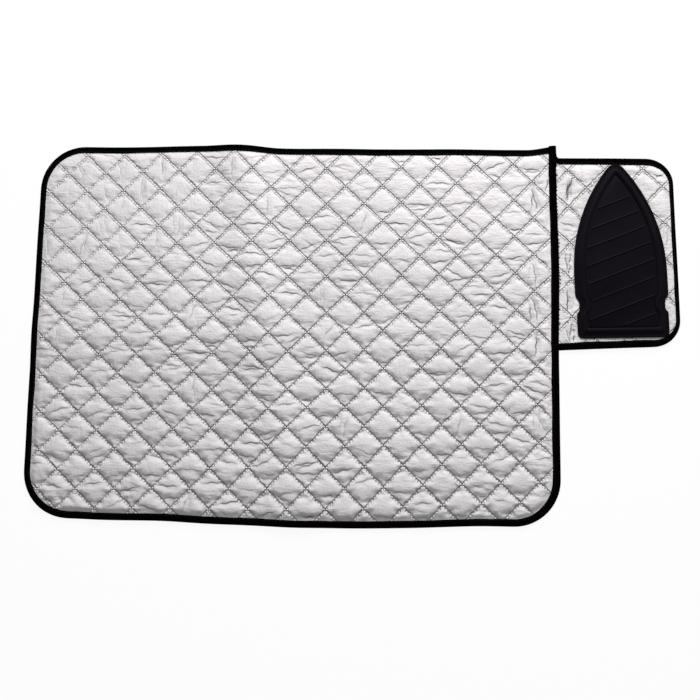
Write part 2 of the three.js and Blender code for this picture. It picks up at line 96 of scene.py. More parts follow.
class QuiltSettings(bpy.types.PropertyGroup):
    """Quilting of the cover: its stitch lines and how its cloth is drawn in."""

    rising_side: FloatProperty(
        name="Rising side",
        description="Length of a diamond's side that rises to the right",
        default=0.03565,
        unit="LENGTH",
    )
    falling_side: FloatProperty(
        name="Falling side",
        description="Length of a diamond's side that falls to the right",
        default=0.03515,
        unit="LENGTH",
    )
    rising: FloatProperty(
        name="Rising lines",
        description="Direction of the stitch lines that rise to the right",
        default=math.radians(46.0),
        subtype="ANGLE",
    )
    falling: FloatProperty(
        name="Falling lines",
        description="Direction of the stitch lines that fall to the right",
        default=math.radians(-43.5),
        subtype="ANGLE",
    )
    pad_crossing: FloatVectorProperty(
        name="Crossing on the pad",
        description="A crossing of two stitch lines, from the middle of the pad",
        default=(0.0182, -0.003),
        size=2,
        subtype="XYZ",
        unit="LENGTH",
    )
    flap_crossing: FloatVectorProperty(
        name="Crossing on the flap",
        description="A crossing of two stitch lines, from the flap's far corner at the seam",
        default=(0.016, -0.117),
        size=2,
        subtype="XYZ",
        unit="LENGTH",
    )
    cell_steps: IntProperty(
        name="Steps in a cell",
        description="Faces along one side of a diamond before each is split in four",
        default=14,
    )
    slack_across: FloatProperty(
        name="Slack along X",
        description="Spare cloth along the pad, as a share of its length",
        default=0.025,
    )
    slack_along: FloatProperty(
        name="Slack along Y",
        description="Spare cloth across the pad, as a share of its width",
        default=0.045,
    )
    pressure: FloatProperty(
        name="Pressure",
        description="How hard the wadding pushes the cloth up",
        default=600.0,
    )
    bending: FloatProperty(
        name="Bending",
        description="How stiff the coated cloth is against bending",
        default=30.0,
    )
    rise_limit: FloatProperty(
        name="Highest crown",
        description="The most that a crown may stand above its stitch lines",
        default=0.0052,
        unit="LENGTH",
    )
    crown: FloatProperty(
        name="Crown",
        description="How far the crowns stand above their stitch lines",
        default=0.0050,
        unit="LENGTH",
    )
    brink: FloatProperty(
        name="Brink",
        description="How much of the crown's height rises steeply beside the stitch lines",
        default=0.0016,
        unit="LENGTH",
    )
    steepness: FloatProperty(
        name="Steepness",
        description="Lower values give a steeper brink",
        default=0.3,
    )
    near_gain: FloatProperty(
        name="Near gain",
        description="How much steeper the crowns are at the near edge than at the middle",
        default=0.55,
    )
    fullness: FloatProperty(
        name="Fullness",
        description="Higher values give crowns with flatter tops",
        default=1.4,
    )
    pleat: FloatProperty(
        name="Pleats",
        description="Depth of the deepest pleats in the cover",
        default=0.0020,
        unit="LENGTH",
    )
    stitches_in_side: IntProperty(
        name="Stitches in a side",
        description="Stitches of the quilting along one side of a diamond",
        default=8,
    )
    stitch: FloatProperty(
        name="Stitch",
        description="Length of one stitch of the quilting",
        default=0.0028,
        unit="LENGTH",
    )
    thread: FloatProperty(
        name="Thread",
        description="Thickness of the quilting's thread",
        default=0.0015,
        unit="LENGTH",
    )


class LieSettings(bpy.types.PropertyGroup):
    """How the pad lies after having been folded: raised creases and waves."""

    crease_low: FloatProperty(
        name="Crease height, near edge",
        description="How far the centre crease stands up at the near edge",
        default=0.0045,
        unit="LENGTH",
    )
    crease_high: FloatProperty(
        name="Crease height, far edge",
        description="How far the centre crease stands up at the far edge",
        default=0.0075,
        unit="LENGTH",
    )
    crease_lean: FloatProperty(
        name="Crease lean",
        description="How far the crease wanders to the left on its way to the far edge",
        default=0.077,
        unit="LENGTH",
    )
    crease_half_width: FloatProperty(
        name="Crease half width",
        description="Distance from the crease at which the pad lies flat again",
        default=0.055,
        unit="LENGTH",
    )
    cross_crease: FloatProperty(
        name="Cross crease",
        description="Height of the faint crease along the middle of the pad",
        default=0.002,
        unit="LENGTH",
    )
    near_bow: FloatProperty(
        name="Near edge bow",
        description="How far the near edge bows out at its middle",
        default=0.0075,
        unit="LENGTH",
    )
    far_bow: FloatProperty(
        name="Far edge bow",
        description="How far the far edge bows out to the left of its middle",
        default=0.003,
        unit="LENGTH",
    )
    seam_bow: FloatProperty(
        name="Seam bow",
        description="How far the pad's edge bows out over the flap",
        default=0.002,
        unit="LENGTH",
    )
    corner_pull: FloatProperty(
        name="Corner pull",
        description="How far the square corner beside the flap is pulled out",
        default=0.0050,
        unit="LENGTH",
    )
    wave: FloatProperty(
        name="Edge waves",
        description="How far the cloth wanders sideways",
        default=0.0013,
        unit="LENGTH",
    )


class TapeSettings(bpy.types.PropertyGroup):
    """Folded tape along the edges."""

    pad_widths: FloatVectorProperty(
        name="Widths on the pad",
        description="Visible width along the far, left, near and right edges of the pad",
        default=(0.0086, 0.0084, 0.0094, 0.0104),
        size=4,
        unit="LENGTH",
    )
    flap_widths: FloatVectorProperty(
        name="Widths on the flap",
        description="Visible width along the far, left, near and right edges of the flap",
        default=(0.0088, 0.0080, 0.0096, 0.0058),
        size=4,
        unit="LENGTH",
    )
    thickness: FloatProperty(
        name="Thickness",
        description="Thickness of the tape",
        default=0.0008,
        unit="LENGTH",
    )
    wander: FloatProperty(
        name="Wander",
        description="How much the tape's inner edge wanders",
        default=0.0006,
        unit="LENGTH",
    )
    end_overlap: FloatProperty(
        name="End overlap",
        description="How far the tape's end stands past the far edge at the square corner",
        default=0.001,
        unit="LENGTH",
    )
    stitch_length: FloatProperty(
        name="Stitch",
        description="Length of one stitch with the gap after it",
        default=0.0042,
        unit="LENGTH",
    )
    thread: FloatProperty(
        name="Thread",
        description="Thickness of the thread that holds the tape and the rest",
        default=0.0009,
        unit="LENGTH",
    )
    stitch_margin: FloatProperty(
        name="Stitch margin",
        description="Distance of the stitches from the tape's inner edge",
        default=0.0018,
        unit="LENGTH",
    )


class FinishSettings(bpy.types.PropertyGroup):
    """Colours of the finishes."""

    cover: FloatVectorProperty(
        name="Cover cloth",
        description="Silver coating of the cover",
        default=(0.66, 0.635, 0.64),
        subtype="COLOR",
    )
    quilting_thread: FloatVectorProperty(
        name="Quilting thread",
        description="Thread of the quilting",
        default=(0.92, 0.90, 0.90),
        subtype="COLOR",
    )
    backing: FloatVectorProperty(
        name="Backing cloth",
        description="Plain cloth of the underside",
        default=(0.66, 0.65, 0.62),
        subtype="COLOR",
    )
    tape: FloatVectorProperty(
        name="Edge tape",
        description="Black woven tape",
        default=(0.0008, 0.0006, 0.0007),
        subtype="COLOR",
    )
    silicone: FloatVectorProperty(
        name="Silicone",
        description="Black moulded silicone",
        default=(0.0040, 0.0033, 0.0050),
        subtype="COLOR",
    )


class StageSettings(bpy.types.PropertyGroup):
    """Floor, light and camera."""

    floor: FloatVectorProperty(
        name="Floor",
        description="Colour of the floor",
        default=(0.9, 0.9, 0.9),
        subtype="COLOR",
    )
    key_power: FloatProperty(
        name="Key light",
        description="Power of the large soft light",
        default=38.4,
        unit="POWER",
    )
    key_place: FloatVectorProperty(
        name="Key light place",
        description="Where the large soft light hangs",
        default=(0.30, 1.30, 1.00),
        subtype="TRANSLATION",
        unit="LENGTH",
    )
    sky: FloatProperty(
        name="Sky",
        description="Strength of the even light from all round",
        default=0.29,
    )
    camera_place: FloatVectorProperty(
        name="Camera place",
        description="Where the camera stands, from the middle of the pad",
        default=(0.1029, -0.1466, 1.0529),
        subtype="TRANSLATION",
        unit="LENGTH",
    )
    camera_turn: FloatVectorProperty(
        name="Camera turn",
        description="Turn of the camera from looking straight down",
        default=tuple(math.radians(angle) for angle in (6.61, 1.39, 0.87)),
        subtype="EULER",
        unit="ROTATION",
    )
    lens: FloatProperty(
        name="Lens",
        description="Focal length on a sensor 36 mm wide",
        default=LENS_SHARE * SENSOR_WIDTH,
        unit="CAMERA",
    )


class IroningPadSettings(bpy.types.PropertyGroup):
    """All settings of the ironing pad."""

    quilt: PointerProperty(type=QuiltSettings)
    lie: PointerProperty(type=LieSettings)
    tape: PointerProperty(type=TapeSettings)
    finish: PointerProperty(type=FinishSettings)
    stage: PointerProperty(type=StageSettings)


def settings():
    return bpy.context.scene.ironing_pad


# Shader graphs


class Value:
    """A shader socket. Arithmetic on it adds Math nodes."""

    def __init__(self, graph, socket):
        self.graph = graph
        self.socket = socket

    def _with(self, operation, first, second):
        return self.graph.calculate(operation, first, second)

    def __add__(self, other):
        return self._with("ADD", self, other)

    def __radd__(self, other):
        return self._with("ADD", other, self)

    def __sub__(self, other):
        return self._with("SUBTRACT", self, other)

    def __rsub__(self, other):
        return self._with("SUBTRACT", other, self)

    def __mul__(self, other):
        return self._with("MULTIPLY", self, other)

    def __rmul__(self, other):
        return self._with("MULTIPLY", other, self)

    def __truediv__(self, other):
        return self._with("DIVIDE", self, other)

    def __rtruediv__(self, other):
        return self._with("DIVIDE", other, self)

    def __pow__(self, other):
        return self._with("POWER", self, other)

    def __mod__(self, other):
        return self._with("FLOORED_MODULO", self, other)

    def __abs__(self):
        return self.graph.node("ShaderNodeMath", {"operation": "ABSOLUTE"}, {0: self})


class Nodes:
    """The nodes of a material or of the world."""

    def __init__(self, owner):
        owner.use_nodes = True
        self.tree = owner.node_tree

    def put(self, socket, value):
        if isinstance(value, Value):
            self.tree.links.new(value.socket, socket)
        else:
            socket.default_value = value

    def node(self, kind, options=None, inputs=None, output=0):
        """A node of that kind: options are set first, then its sockets are filled."""
        made = self.tree.nodes.new(kind)
        for name, value in (options or {}).items():
            setattr(made, name, value)
        for name, value in (inputs or {}).items():
            self.put(made.inputs[name], value)
        return Value(self, made.outputs[output])

    def calculate(self, operation, first, second, clamp=False):
        return self.node(
            "ShaderNodeMath",
            {"operation": operation, "use_clamp": clamp},
            {0: first, 1: second},
        )

    def seen(self):
        """1 for rays from the camera, and for those off metal or through glass."""
        camera, mirrored, through = (
            self.node("ShaderNodeLightPath", output=ray)
            for ray in ("Is Camera Ray", "Is Glossy Ray", "Is Transmission Ray")
        )
        indirect = self.calculate("MAXIMUM", mirrored, through)
        return self.calculate("MAXIMUM", camera, indirect)


class Graph(Nodes):
    """Nodes of one material, with a Principled BSDF at the end."""

    def __init__(self, name):
        self.material = bpy.data.materials.new(name)
        super().__init__(self.material)
        self.shader = self.tree.nodes["Principled BSDF"]
        self.output = self.tree.nodes["Material Output"]

    def surface(self, **sockets):
        for name, value in sockets.items():
            self.put(self.shader.inputs[name.replace("_", " ").title()], value)
        return self.material

    def dull(self, level):
        """Sets how strongly the surface mirrors its surroundings."""
        self.shader.inputs["Specular IOR Level"].default_value = level

    def attribute(self, name):
        return self.node(
            "ShaderNodeAttribute", {"attribute_name": name}, output="Vector"
        )

    def objectwise(self):
        return self.node("ShaderNodeTexCoord", output="Object")

    def scaled(self, vector, scale, turn=0.0):
        return self.node(
            "ShaderNodeMapping",
            {"vector_type": "POINT"},
            {"Vector": vector, "Scale": scale, "Rotation": (0.0, 0.0, turn)},
        )

    def split(self, vector):
        return [
            self.node("ShaderNodeSeparateXYZ", None, {0: vector}, output=axis)
            for axis in range(3)
        ]

    def cloud(self, vector, scale, detail=2.0, roughness=0.5):
        return self.node(
            "ShaderNodeTexNoise",
            None,
            {
                "Vector": vector,
                "Scale": scale,
                "Detail": detail,
                "Roughness": roughness,
            },
        )

    def ramp(self, value, low, high):
        """0 below low and 1 above high, smooth in between."""
        return self.node(
            "ShaderNodeMapRange",
            {"interpolation_type": "SMOOTHSTEP"},
            {"Value": value, "From Min": low, "From Max": high},
        )

    def fade(self, value, low, high):
        """1 below low and 0 above high, smooth in between."""
        return 1.0 - self.ramp(value, low, high)

    def notch(self, distance, half_width):
        """1 at no distance, falling straight to 0 at the half width."""
        return self.node(
            "ShaderNodeMapRange",
            {"interpolation_type": "LINEAR"},
            {
                "Value": abs(distance),
                "From Min": 0.0,
                "From Max": half_width,
                "To Min": 1.0,
                "To Max": 0.0,
            },
        )

    def tuck(self, off, above, below):
        """1 on a fold line, falling straight to 0 at one distance above and one below it."""
        return self.calculate("MINIMUM", 1.0 - off / above, 1.0 + off / below, clamp=True)

    def sine(self, value):
        return self.node("ShaderNodeMath", {"operation": "SINE"}, {0: value})

    def mix(self, factor, first, second):
        return self.node(
            "ShaderNodeMix",
            {"data_type": "RGBA"},
            {0: factor, 6: first, 7: second},
            output=2,
        )

    def tones(self, factor, colour, shades):
        """Goes from one shade of a colour to another as the factor goes from 0 to 1."""
        return self.mix(factor, *(shade(colour, amount) for amount in shades))

    def bump(self, height, strength, distance, under=None):
        inputs = {"Height": height, "Strength": strength, "Distance": distance}
        if under is not None:
            inputs["Normal"] = under
        return self.node("ShaderNodeBump", None, inputs)


def shade(colour, factor=1.0):
    return tuple(min(channel * factor, 1.0) for channel in colour) + (1.0,)


# In the lists of values for finishes, a cloud is (scale, detail, roughness), a bump is
# (strength, height), a run is where something starts and where it is complete, and shades
# are shares of a finish's colour. Lengths are in metres.

PLEAT_NAMES = ("first_pleat", "second_pleat", "third_pleat")

# The thread lies this far on the near side of its groove.
STITCH_SHIFT = 0.0016

GROOVE_HALF = 0.0013
GROOVE_BUMP = (0.8, 0.0012)
PUCKER_RUN = (0.0010, 0.0030)
PUCKER_BUMP = (0.7, 0.0005)
UNEVEN_CLOUD = (90.0, 1.0)
UNEVEN_RUN = (0.35, 0.65)
# Painted shade at each needle hole, in the gaps between the stitches.
HOLE_SHADE_RUN = (0.3, 0.8)
HOLE_SHADE_REACH = (0.0005, 0.0012)

# Painted shade: darkened lines on both sides of the thread stand in for the shade of its groove,
# fainter at the left and towards the near edge.
ROW_HALF = 0.0016
SHADE_LINE_HALF = 0.0008
SLACK_LEFT = 0.75
SLACK_RUN = (-0.40, -0.05)
FAINT_LEFT = 0.4
FAINT_NEAR = 0.8
FAINT_RUN = (-0.10, 0.15)
LOWER_LINE = (0.0012, 0.0018)
PAINTED_SEAM_SHADE = 0.15
PAINTED_SHADE_STRENGTH = 0.7

# Pleats: painted shade along the crease itself, and the cloth that sinks towards it from either
# side.
FOLD_SHADE_HALF = 0.0011
TUCK_ABOVE = 0.0015
TUCK_BELOW = 0.0060
TUCK_BUMP = (1.0, 0.0013)

# Fine folds, per metre along X and Y, and the crumple of the coating.
LEVEL_FOLDS = (26.0, 110.0, 1.0)
LEVEL_CLOUD = (1.0, 3.0, 0.55)
UPRIGHT_FOLDS = (120.0, 30.0, 1.0)
UPRIGHT_TURN = 0.3
UPRIGHT_CLOUD = (1.0, 2.0, 0.5)
PATCH_CLOUD = (9.0, 1.0)
PATCH_RUN = (0.42, 0.6)
PATCH_LEVEL = 0.6
PATCH_UPRIGHT = 0.7
FOLD_BUMP = (0.8, 0.0026)
CRUMPLE_CLOUD = (300.0, 3.0, 0.6)
CRUMPLE_BUMP = (0.6, 0.0014)

COVER_CLOUD = (5.0, 2.0)
COVER_RUN = (0.35, 0.65)
COVER_SHADES = (0.97, 1.03)
COVER_ROUGHNESS = 0.62
RUBBED_CLOUD = (60.0, 2.0)
RUBBED_ROUGHNESS = 0.12
COVER_GLOSS = 0.05


def off_line(cell, side):
    """Distance from the nearest line between cells that have sides that long."""
    return abs((cell + 0.5) % 1.0 - 0.5) * side


def seam(graph, cells, shift, side, faint):
    """Groove, puckers, and painted shade at each needle hole and in lines beside the thread,
    along one set of stitch lines.

    The cells are counted across the lines and along them.
    """
    across, along = cells
    near = off_line(across, side)
    row = off_line(across - shift[0], side)
    turns = FULL_TURN * settings().quilt.stitches_in_side
    gaps = graph.sine((along - shift[1]) * turns + QUARTER_TURN)
    puckers = gaps * graph.fade(row, *PUCKER_RUN)
    # Painted shade: each needle hole between the stitches is darkened, standing in for the shade
    # in it.
    hole_shade = graph.ramp(gaps, *HOLE_SHADE_RUN) * graph.fade(row, *HOLE_SHADE_REACH)
    # Painted shade: darkened lines beside the thread's row stand in for the shade of the groove.
    lines = graph.notch(row - ROW_HALF, SHADE_LINE_HALF)
    lines = lines * (1.0 - faint * graph.ramp(near, *LOWER_LINE))
    return graph.notch(near, GROOVE_HALF), puckers, hole_shade, lines


def fine_folds(graph, flat):
    """Fine folds all over the cover: level ones, and upright ones in patches."""
    level = graph.cloud(graph.scaled(flat, LEVEL_FOLDS), *LEVEL_CLOUD)
    upright = graph.cloud(graph.scaled(flat, UPRIGHT_FOLDS, UPRIGHT_TURN), *UPRIGHT_CLOUD)
    patches = graph.ramp(graph.cloud(flat, *PATCH_CLOUD), *PATCH_RUN)
    folds = abs(level - 0.5) * (1.0 - PATCH_LEVEL * patches)
    return folds + abs(upright - 0.5) * patches * PATCH_UPRIGHT


def cover_cloth():
    """Silver-coated cloth: fine creases, puckers along the stitches and a soft sheen, with
    painted shade along the stitch lines, at each needle hole and along the pleats' folds.
    """
    quilt = settings().quilt
    silver = settings().finish.cover
    graph = Graph("silver cover cloth")
    flat = graph.attribute("flat")
    x, y, _ = graph.split(flat)
    left = graph.fade(x, *SLACK_RUN)
    faint = FAINT_NEAR * graph.fade(y, *FAINT_RUN)
    across, along, _ = graph.split(graph.attribute("cells"))
    shift = pad_lattice().to_3x3().inverted() @ Vector((0.0, -STITCH_SHIFT, 0.0))
    falling = seam(graph, (across, along), (shift.x, shift.y), quilt.rising_side, faint)
    rising = seam(graph, (along, across), (shift.y, shift.x), quilt.falling_side, faint)
    grooves = falling[0] + rising[0] * (1.0 - SLACK_LEFT * left)
    puckers = falling[1] + rising[1]
    hole_shade = falling[2] + rising[2]
    lines = falling[3] + rising[3] * (1.0 - FAINT_LEFT * left)
    tucks = 0.0
    creases = 0.0
    for name in PLEAT_NAMES:
        off, depth, _ = graph.split(graph.attribute(name))
        tucks = tucks + graph.tuck(off, TUCK_ABOVE, TUCK_BELOW) * depth
        # Painted shade: each pleat's fold line is darkened, standing in for the shade in its
        # crease.
        creases = creases + graph.notch(off, FOLD_SHADE_HALF) * depth
    uneven = graph.ramp(graph.cloud(flat, *UNEVEN_CLOUD), *UNEVEN_RUN)
    normal = graph.bump(fine_folds(graph, flat), *FOLD_BUMP)
    normal = graph.bump(0.0 - tucks, *TUCK_BUMP, under=normal)
    normal = graph.bump(0.0 - grooves, *GROOVE_BUMP, under=normal)
    normal = graph.bump(puckers * uneven, *PUCKER_BUMP, under=normal)
    normal = graph.bump(graph.cloud(flat, *CRUMPLE_CLOUD), *CRUMPLE_BUMP, under=normal)
    tone = graph.ramp(graph.cloud(flat, *COVER_CLOUD), *COVER_RUN)
    colour = graph.tones(tone, silver, COVER_SHADES)
    # Painted shade: the colour is darkened along the stitch lines, at each needle hole and along
    # the pleats' folds, standing in for the shade there.
    painted_shade = graph.calculate("MINIMUM", lines + hole_shade + creases, 1.0)
    colour = graph.mix(painted_shade * PAINTED_SHADE_STRENGTH, colour, shade(silver, PAINTED_SEAM_SHADE))
    rubbed = RUBBED_ROUGHNESS * graph.cloud(flat, *RUBBED_CLOUD)
    graph.dull(COVER_GLOSS)
    return graph.surface(
        base_color=colour,
        roughness=COVER_ROUGHNESS + rubbed,
        metallic=0.0,
        normal=normal,
    )


MATT = 0.9

BACKING_PITCH = 0.0009
BACKING_CLOUD = (30.0, 3.0)
BACKING_RUN = (0.3, 0.7)
BACKING_SHADES = (0.94, 1.04)
BACKING_FOLDS = (45.0, 2.0)
BACKING_FOLD_BUMP = (0.3, 0.003)
WEAVE_BUMP = (0.3, 0.0002)


def backing_cloth():
    """Plain pale woven cotton."""
    graph = Graph("pale backing cloth")
    flat = graph.attribute("flat")
    x, y, _ = graph.split(flat)
    threads = FULL_TURN / BACKING_PITCH
    weave = graph.sine(x * threads) * graph.sine(y * threads)
    tone = graph.ramp(graph.cloud(flat, *BACKING_CLOUD), *BACKING_RUN)
    folds = abs(graph.cloud(flat, *BACKING_FOLDS) - 0.5)
    normal = graph.bump(folds, *BACKING_FOLD_BUMP)
    return graph.surface(
        base_color=graph.tones(tone, settings().finish.backing, BACKING_SHADES),
        roughness=MATT,
        normal=graph.bump(weave, *WEAVE_BUMP, under=normal),
    )


TAPE_PITCH = 0.0011
WEFT_SHARE = 0.5
RIB_BUMP = (0.35, 0.0002)
TAPE_PUCKERS = (90.0, 25.0, 1.0)
TAPE_CLOUD = (1.0, 2.0)
TAPE_PUCKER_BUMP = (0.5, 0.0012)
TAPE_RUN = (0.3, 0.75)
TAPE_SHADES = (0.7, 1.5)
TAPE_GLOSS = 0.008


def tape_cloth():
    """Matt black woven tape with fine ribs across it."""
    graph = Graph("black edge tape")
    run = graph.attribute("run")
    along, around, _ = graph.split(run)
    turns = FULL_TURN / TAPE_PITCH
    ribs = graph.sine(along * turns) + WEFT_SHARE * graph.sine(around * turns)
    puckers = graph.cloud(graph.scaled(run, TAPE_PUCKERS), *TAPE_CLOUD)
    normal = graph.bump(puckers, *TAPE_PUCKER_BUMP)
    tone = graph.ramp(puckers, *TAPE_RUN)
    graph.dull(TAPE_GLOSS)
    return graph.surface(
        base_color=graph.tones(tone, settings().finish.tape, TAPE_SHADES),
        roughness=MATT,
        normal=graph.bump(ribs, *RIB_BUMP, under=normal),
    )


FIBRE_CLOUD = (2500.0, 1.0)
FIBRE_RUN = (0.3, 0.7)
FIBRE_SHADES = (0.85, 1.1)
THREAD_ROUGHNESS = 0.6
THREAD_GLOSS = 0.1


def thread(name, colour):
    """Spun thread, uneven from fibre to fibre."""
    graph = Graph(name)
    fibre = graph.ramp(graph.cloud(graph.objectwise(), *FIBRE_CLOUD), *FIBRE_RUN)
    graph.dull(THREAD_GLOSS)
    return graph.surface(
        base_color=graph.tones(fibre, colour, FIBRE_SHADES), roughness=THREAD_ROUGHNESS
    )


GRAIN_CLOUD = (1800.0, 2.0)
GRAIN_BUMP = (0.12, 0.0002)
DUST_CLOUD = (22.0, 4.0, 0.6)
DUST_RUN = (0.45, 0.75)
DUST_SHADES = (1.0, 1.3)
DUST_ROUGHNESS = 0.12
# Painted highlight: heights in metres between which the rest's rib tops and upper rim are
# painted paler, and how much paler.
HIGHLIGHT_FROM = (0.0070, 0.0075)
HIGHLIGHT_TO = (0.0077, 0.0081)
HIGHLIGHT_SHADE = 3.0
SILICONE_ROUGHNESS = 0.52
SILICONE_GLOSS = 0.016


def silicone():
    """Satin black silicone with a fine moulded grain, and a painted highlight that makes its rib
    tops and upper rim paler.
    """
    black = settings().finish.silicone
    graph = Graph("black moulded silicone")
    where = graph.objectwise()
    dust = graph.ramp(graph.cloud(where, *DUST_CLOUD), *DUST_RUN)
    height = graph.split(where)[2]
    # Painted highlight: the rib tops and upper rim are painted paler, as where light catches
    # them.
    painted_highlight = graph.ramp(height, *HIGHLIGHT_FROM) * graph.fade(height, *HIGHLIGHT_TO)
    tone = graph.tones(dust, black, DUST_SHADES)
    graph.dull(SILICONE_GLOSS)
    return graph.surface(
        base_color=graph.mix(painted_highlight, tone, shade(black, HIGHLIGHT_SHADE)),
        roughness=SILICONE_ROUGHNESS + DUST_ROUGHNESS * dust,
        normal=graph.bump(graph.cloud(where, *GRAIN_CLOUD), *GRAIN_BUMP),
    )


# Panels


class Outline:
    """Closed outline of a panel, anticlockwise, from corners of (x, y, radius).

    Its tape has one width each along edges that face far, left, near and right.
    """

    ARC_STEPS = 16

    def __init__(self, corners, tape_widths=(0.0, 0.0, 0.0, 0.0)):
        self.tape_widths = np.array(tape_widths)
        points = []
        count = len(corners)
        for index, (x, y, radius) in enumerate(corners):
            here = Vector((x, y))
            before = (here - Vector(corners[index - 1][:2])).normalized()
            after = (Vector(corners[(index + 1) % count][:2]) - here).normalized()
            if radius == 0:
                points.append(here)
                continue
            turn = before.angle(after)
            inward = Vector((-before.y, before.x))
            centre = here - before * radius * math.tan(turn / 2) + inward * radius
            for step in range(self.ARC_STEPS + 1):
                arm = Matrix.Rotation(turn * step / self.ARC_STEPS, 2) @ -inward
                points.append(centre + arm * radius)
        self.points = np.array([tuple(point) for point in points])

    def tape_width(self, outward):
        """Width of the tape where the outline faces that way."""
        facing = np.stack([outward[:, 1], -outward[:, 0], -outward[:, 1], outward[:, 0]], axis=1)
        return np.clip(facing, 0.0, None) ** 2 @ self.tape_widths

    def depth(self, places):
        """How far inside the outline each place is, and inside the tape's inner edge."""
        ahead = np.roll(self.points, -1, axis=0) - self.points
        ahead /= np.linalg.norm(ahead, axis=1)[:, None]
        outward = np.stack([ahead[:, 1], -ahead[:, 0]], axis=1)
        reach = np.full(len(places), np.inf)
        past_tape = np.full(len(places), np.inf)
        for start, normal, width in zip(self.points, outward, self.tape_width(outward)):
            inside = (start - places[:, :2]) @ normal
            reach = np.minimum(reach, inside)
            past_tape = np.minimum(past_tape, inside - width)
        return reach, past_tape

    def walk(self, spacing, close):
        """Evenly spaced points, and outward normals, from the first corner on round."""
        loop = np.vstack([self.points, self.points[:1]]) if close else self.points
        legs = np.linalg.norm(np.diff(loop, axis=0), axis=1)
        run = np.concatenate([[0.0], np.cumsum(legs)])
        stops = np.linspace(0.0, run[-1], int(run[-1] / spacing) + 1)
        places = np.stack([np.interp(stops, run, loop[:, axis]) for axis in (0, 1)], axis=1)
        ahead = np.diff(loop, axis=0) / legs[:, None]
        leg = np.clip(np.searchsorted(run, stops, side="right") - 1, 0, len(legs) - 1)
        outward = np.stack([ahead[leg, 1], -ahead[leg, 0]], axis=1)
        return places, outward, stops


PAD_RADII = (0.060, 0.062, 0.06)
FLAP_TAPER = 0.008
FLAP_LEAN = 0.005
FLAP_RADII = (0.036, 0.036)
TUCK = 0.004

# Both start at the end of a straight edge where the tape starts, and run anticlockwise.


def pad_outline():
    return Outline(
        [
            (PAD_HIGH.x, PAD_HIGH.y, 0),
            (PAD_LOW.x, PAD_HIGH.y, PAD_RADII[0]),
            (PAD_LOW.x, PAD_LOW.y, PAD_RADII[1]),
            (PAD_HIGH.x, PAD_LOW.y, PAD_RADII[2]),
        ],
        settings().tape.pad_widths,
    )


def flap_outline():
    return Outline(
        [
            (SEAM_X - TUCK, FLAP_LOW.y, 0),
            (FLAP_HIGH.x, FLAP_LOW.y + FLAP_TAPER, FLAP_RADII[0]),
            (FLAP_HIGH.x - FLAP_LEAN, FLAP_HIGH.y, FLAP_RADII[1]),
            (SEAM_X - TUCK, FLAP_HIGH.y, 0),
        ],
        settings().tape.flap_widths,
    )


def smoothed(value):
    part = np.clip(value, 0.0, 1.0)
    return part * part * (3.0 - 2.0 * part)


def hump(distance, half_width):
    return np.cos(np.clip(np.abs(distance) / half_width, 0.0, 1.0) * QUARTER_TURN) ** 2


# How the pad lies, in metres: where its waves, creases and bows are and how far they reach.
WAVE_SEED = 5
WAVE_LENGTH = 0.09
WAVE_LEVEL = 0.37
SEAM_WAVES = 0.3
SETTLED_RUN = 0.09
CROSS_SHIFT = 0.012
CROSS_HALF = 0.05
BOW_RUN = 0.12
BROAD_BOW = 0.3
NEAR_BOW_X = -0.03
NEAR_BOW_HALF = 0.232
FAR_BOW_X = -0.195
FAR_BOW_HALF = 0.15
SEAM_BOW_Y = 0.08
SEAM_BOW_HALF = 0.12
SEAM_BOW_RUN = 0.03
CORNER_RUN = 0.04


def settle(places):
    """Lays flat places down as the pad really lies: creased, and a little wavy."""
    lie = settings().lie
    noise.seed_set(WAVE_SEED)
    laid = np.array(places, float)
    x, y = laid[:, 0].copy(), laid[:, 1].copy()
    far = np.clip((y - PAD_LOW.y) / (PAD_HIGH.y - PAD_LOW.y), 0.0, 1.0)
    crest = CREASE_X - lie.crease_lean * far
    height = lie.crease_low + (lie.crease_high - lie.crease_low) * far
    lift = height * hump(x - crest, lie.crease_half_width)
    lift += lie.cross_crease * hump(y - PAD_MIDDLE.y + CROSS_SHIFT, CROSS_HALF)
    calm = smoothed((SEAM_X - x) / SETTLED_RUN)
    waves = np.array(
        [noise.noise_vector(Vector((px, py, WAVE_LEVEL)) / WAVE_LENGTH) for px, py in zip(x, y)]
    )
    lift += lie.wave * 0.5 * (1.0 + np.clip(waves[:, 2], -1.0, 1.0))
    wander = SEAM_WAVES + (1.0 - SEAM_WAVES) * calm
    laid[:, :2] += lie.wave * waves[:, :2] * wander[:, None]
    laid[:, 2] += lift * calm
    half = (PAD_HIGH.x - PAD_LOW.x) / 2
    bow = BROAD_BOW * np.clip(1.0 - ((x - PAD_MIDDLE.x) / half) ** 2, 0.0, 1.0)
    bow += (1.0 - BROAD_BOW) * hump(x - NEAR_BOW_X, NEAR_BOW_HALF)
    laid[:, 1] -= lie.near_bow * bow * (1.0 - smoothed((y - PAD_LOW.y) / BOW_RUN))
    bow = hump(x - FAR_BOW_X, FAR_BOW_HALF)
    laid[:, 1] += lie.far_bow * bow * (1.0 - smoothed((PAD_HIGH.y - y) / BOW_RUN))
    bow = hump(y - SEAM_BOW_Y, SEAM_BOW_HALF)
    laid[:, 0] += lie.seam_bow * bow * hump(x - SEAM_X, SEAM_BOW_RUN)
    corner = smoothed(1.0 - (SEAM_X - x) / CORNER_RUN) * (x <= SEAM_X)
    laid[:, 1] += lie.corner_pull * corner * smoothed(1.0 - (PAD_HIGH.y - y) / CORNER_RUN)
    return laid


def spatial(flat):
    """Flat places or directions as ones in space, at height 0."""
    return np.pad(flat, ((0, 0), (0, 1)))


def along_edge(outward):
    """Directions along an edge, from those that point out of it."""
    return np.stack([-outward[:, 1], outward[:, 0]], axis=1)


def points_of(mesh):
    places = np.empty(len(mesh.vertices) * 3)
    mesh.vertices.foreach_get("co", places)
    return places.reshape(-1, 3)


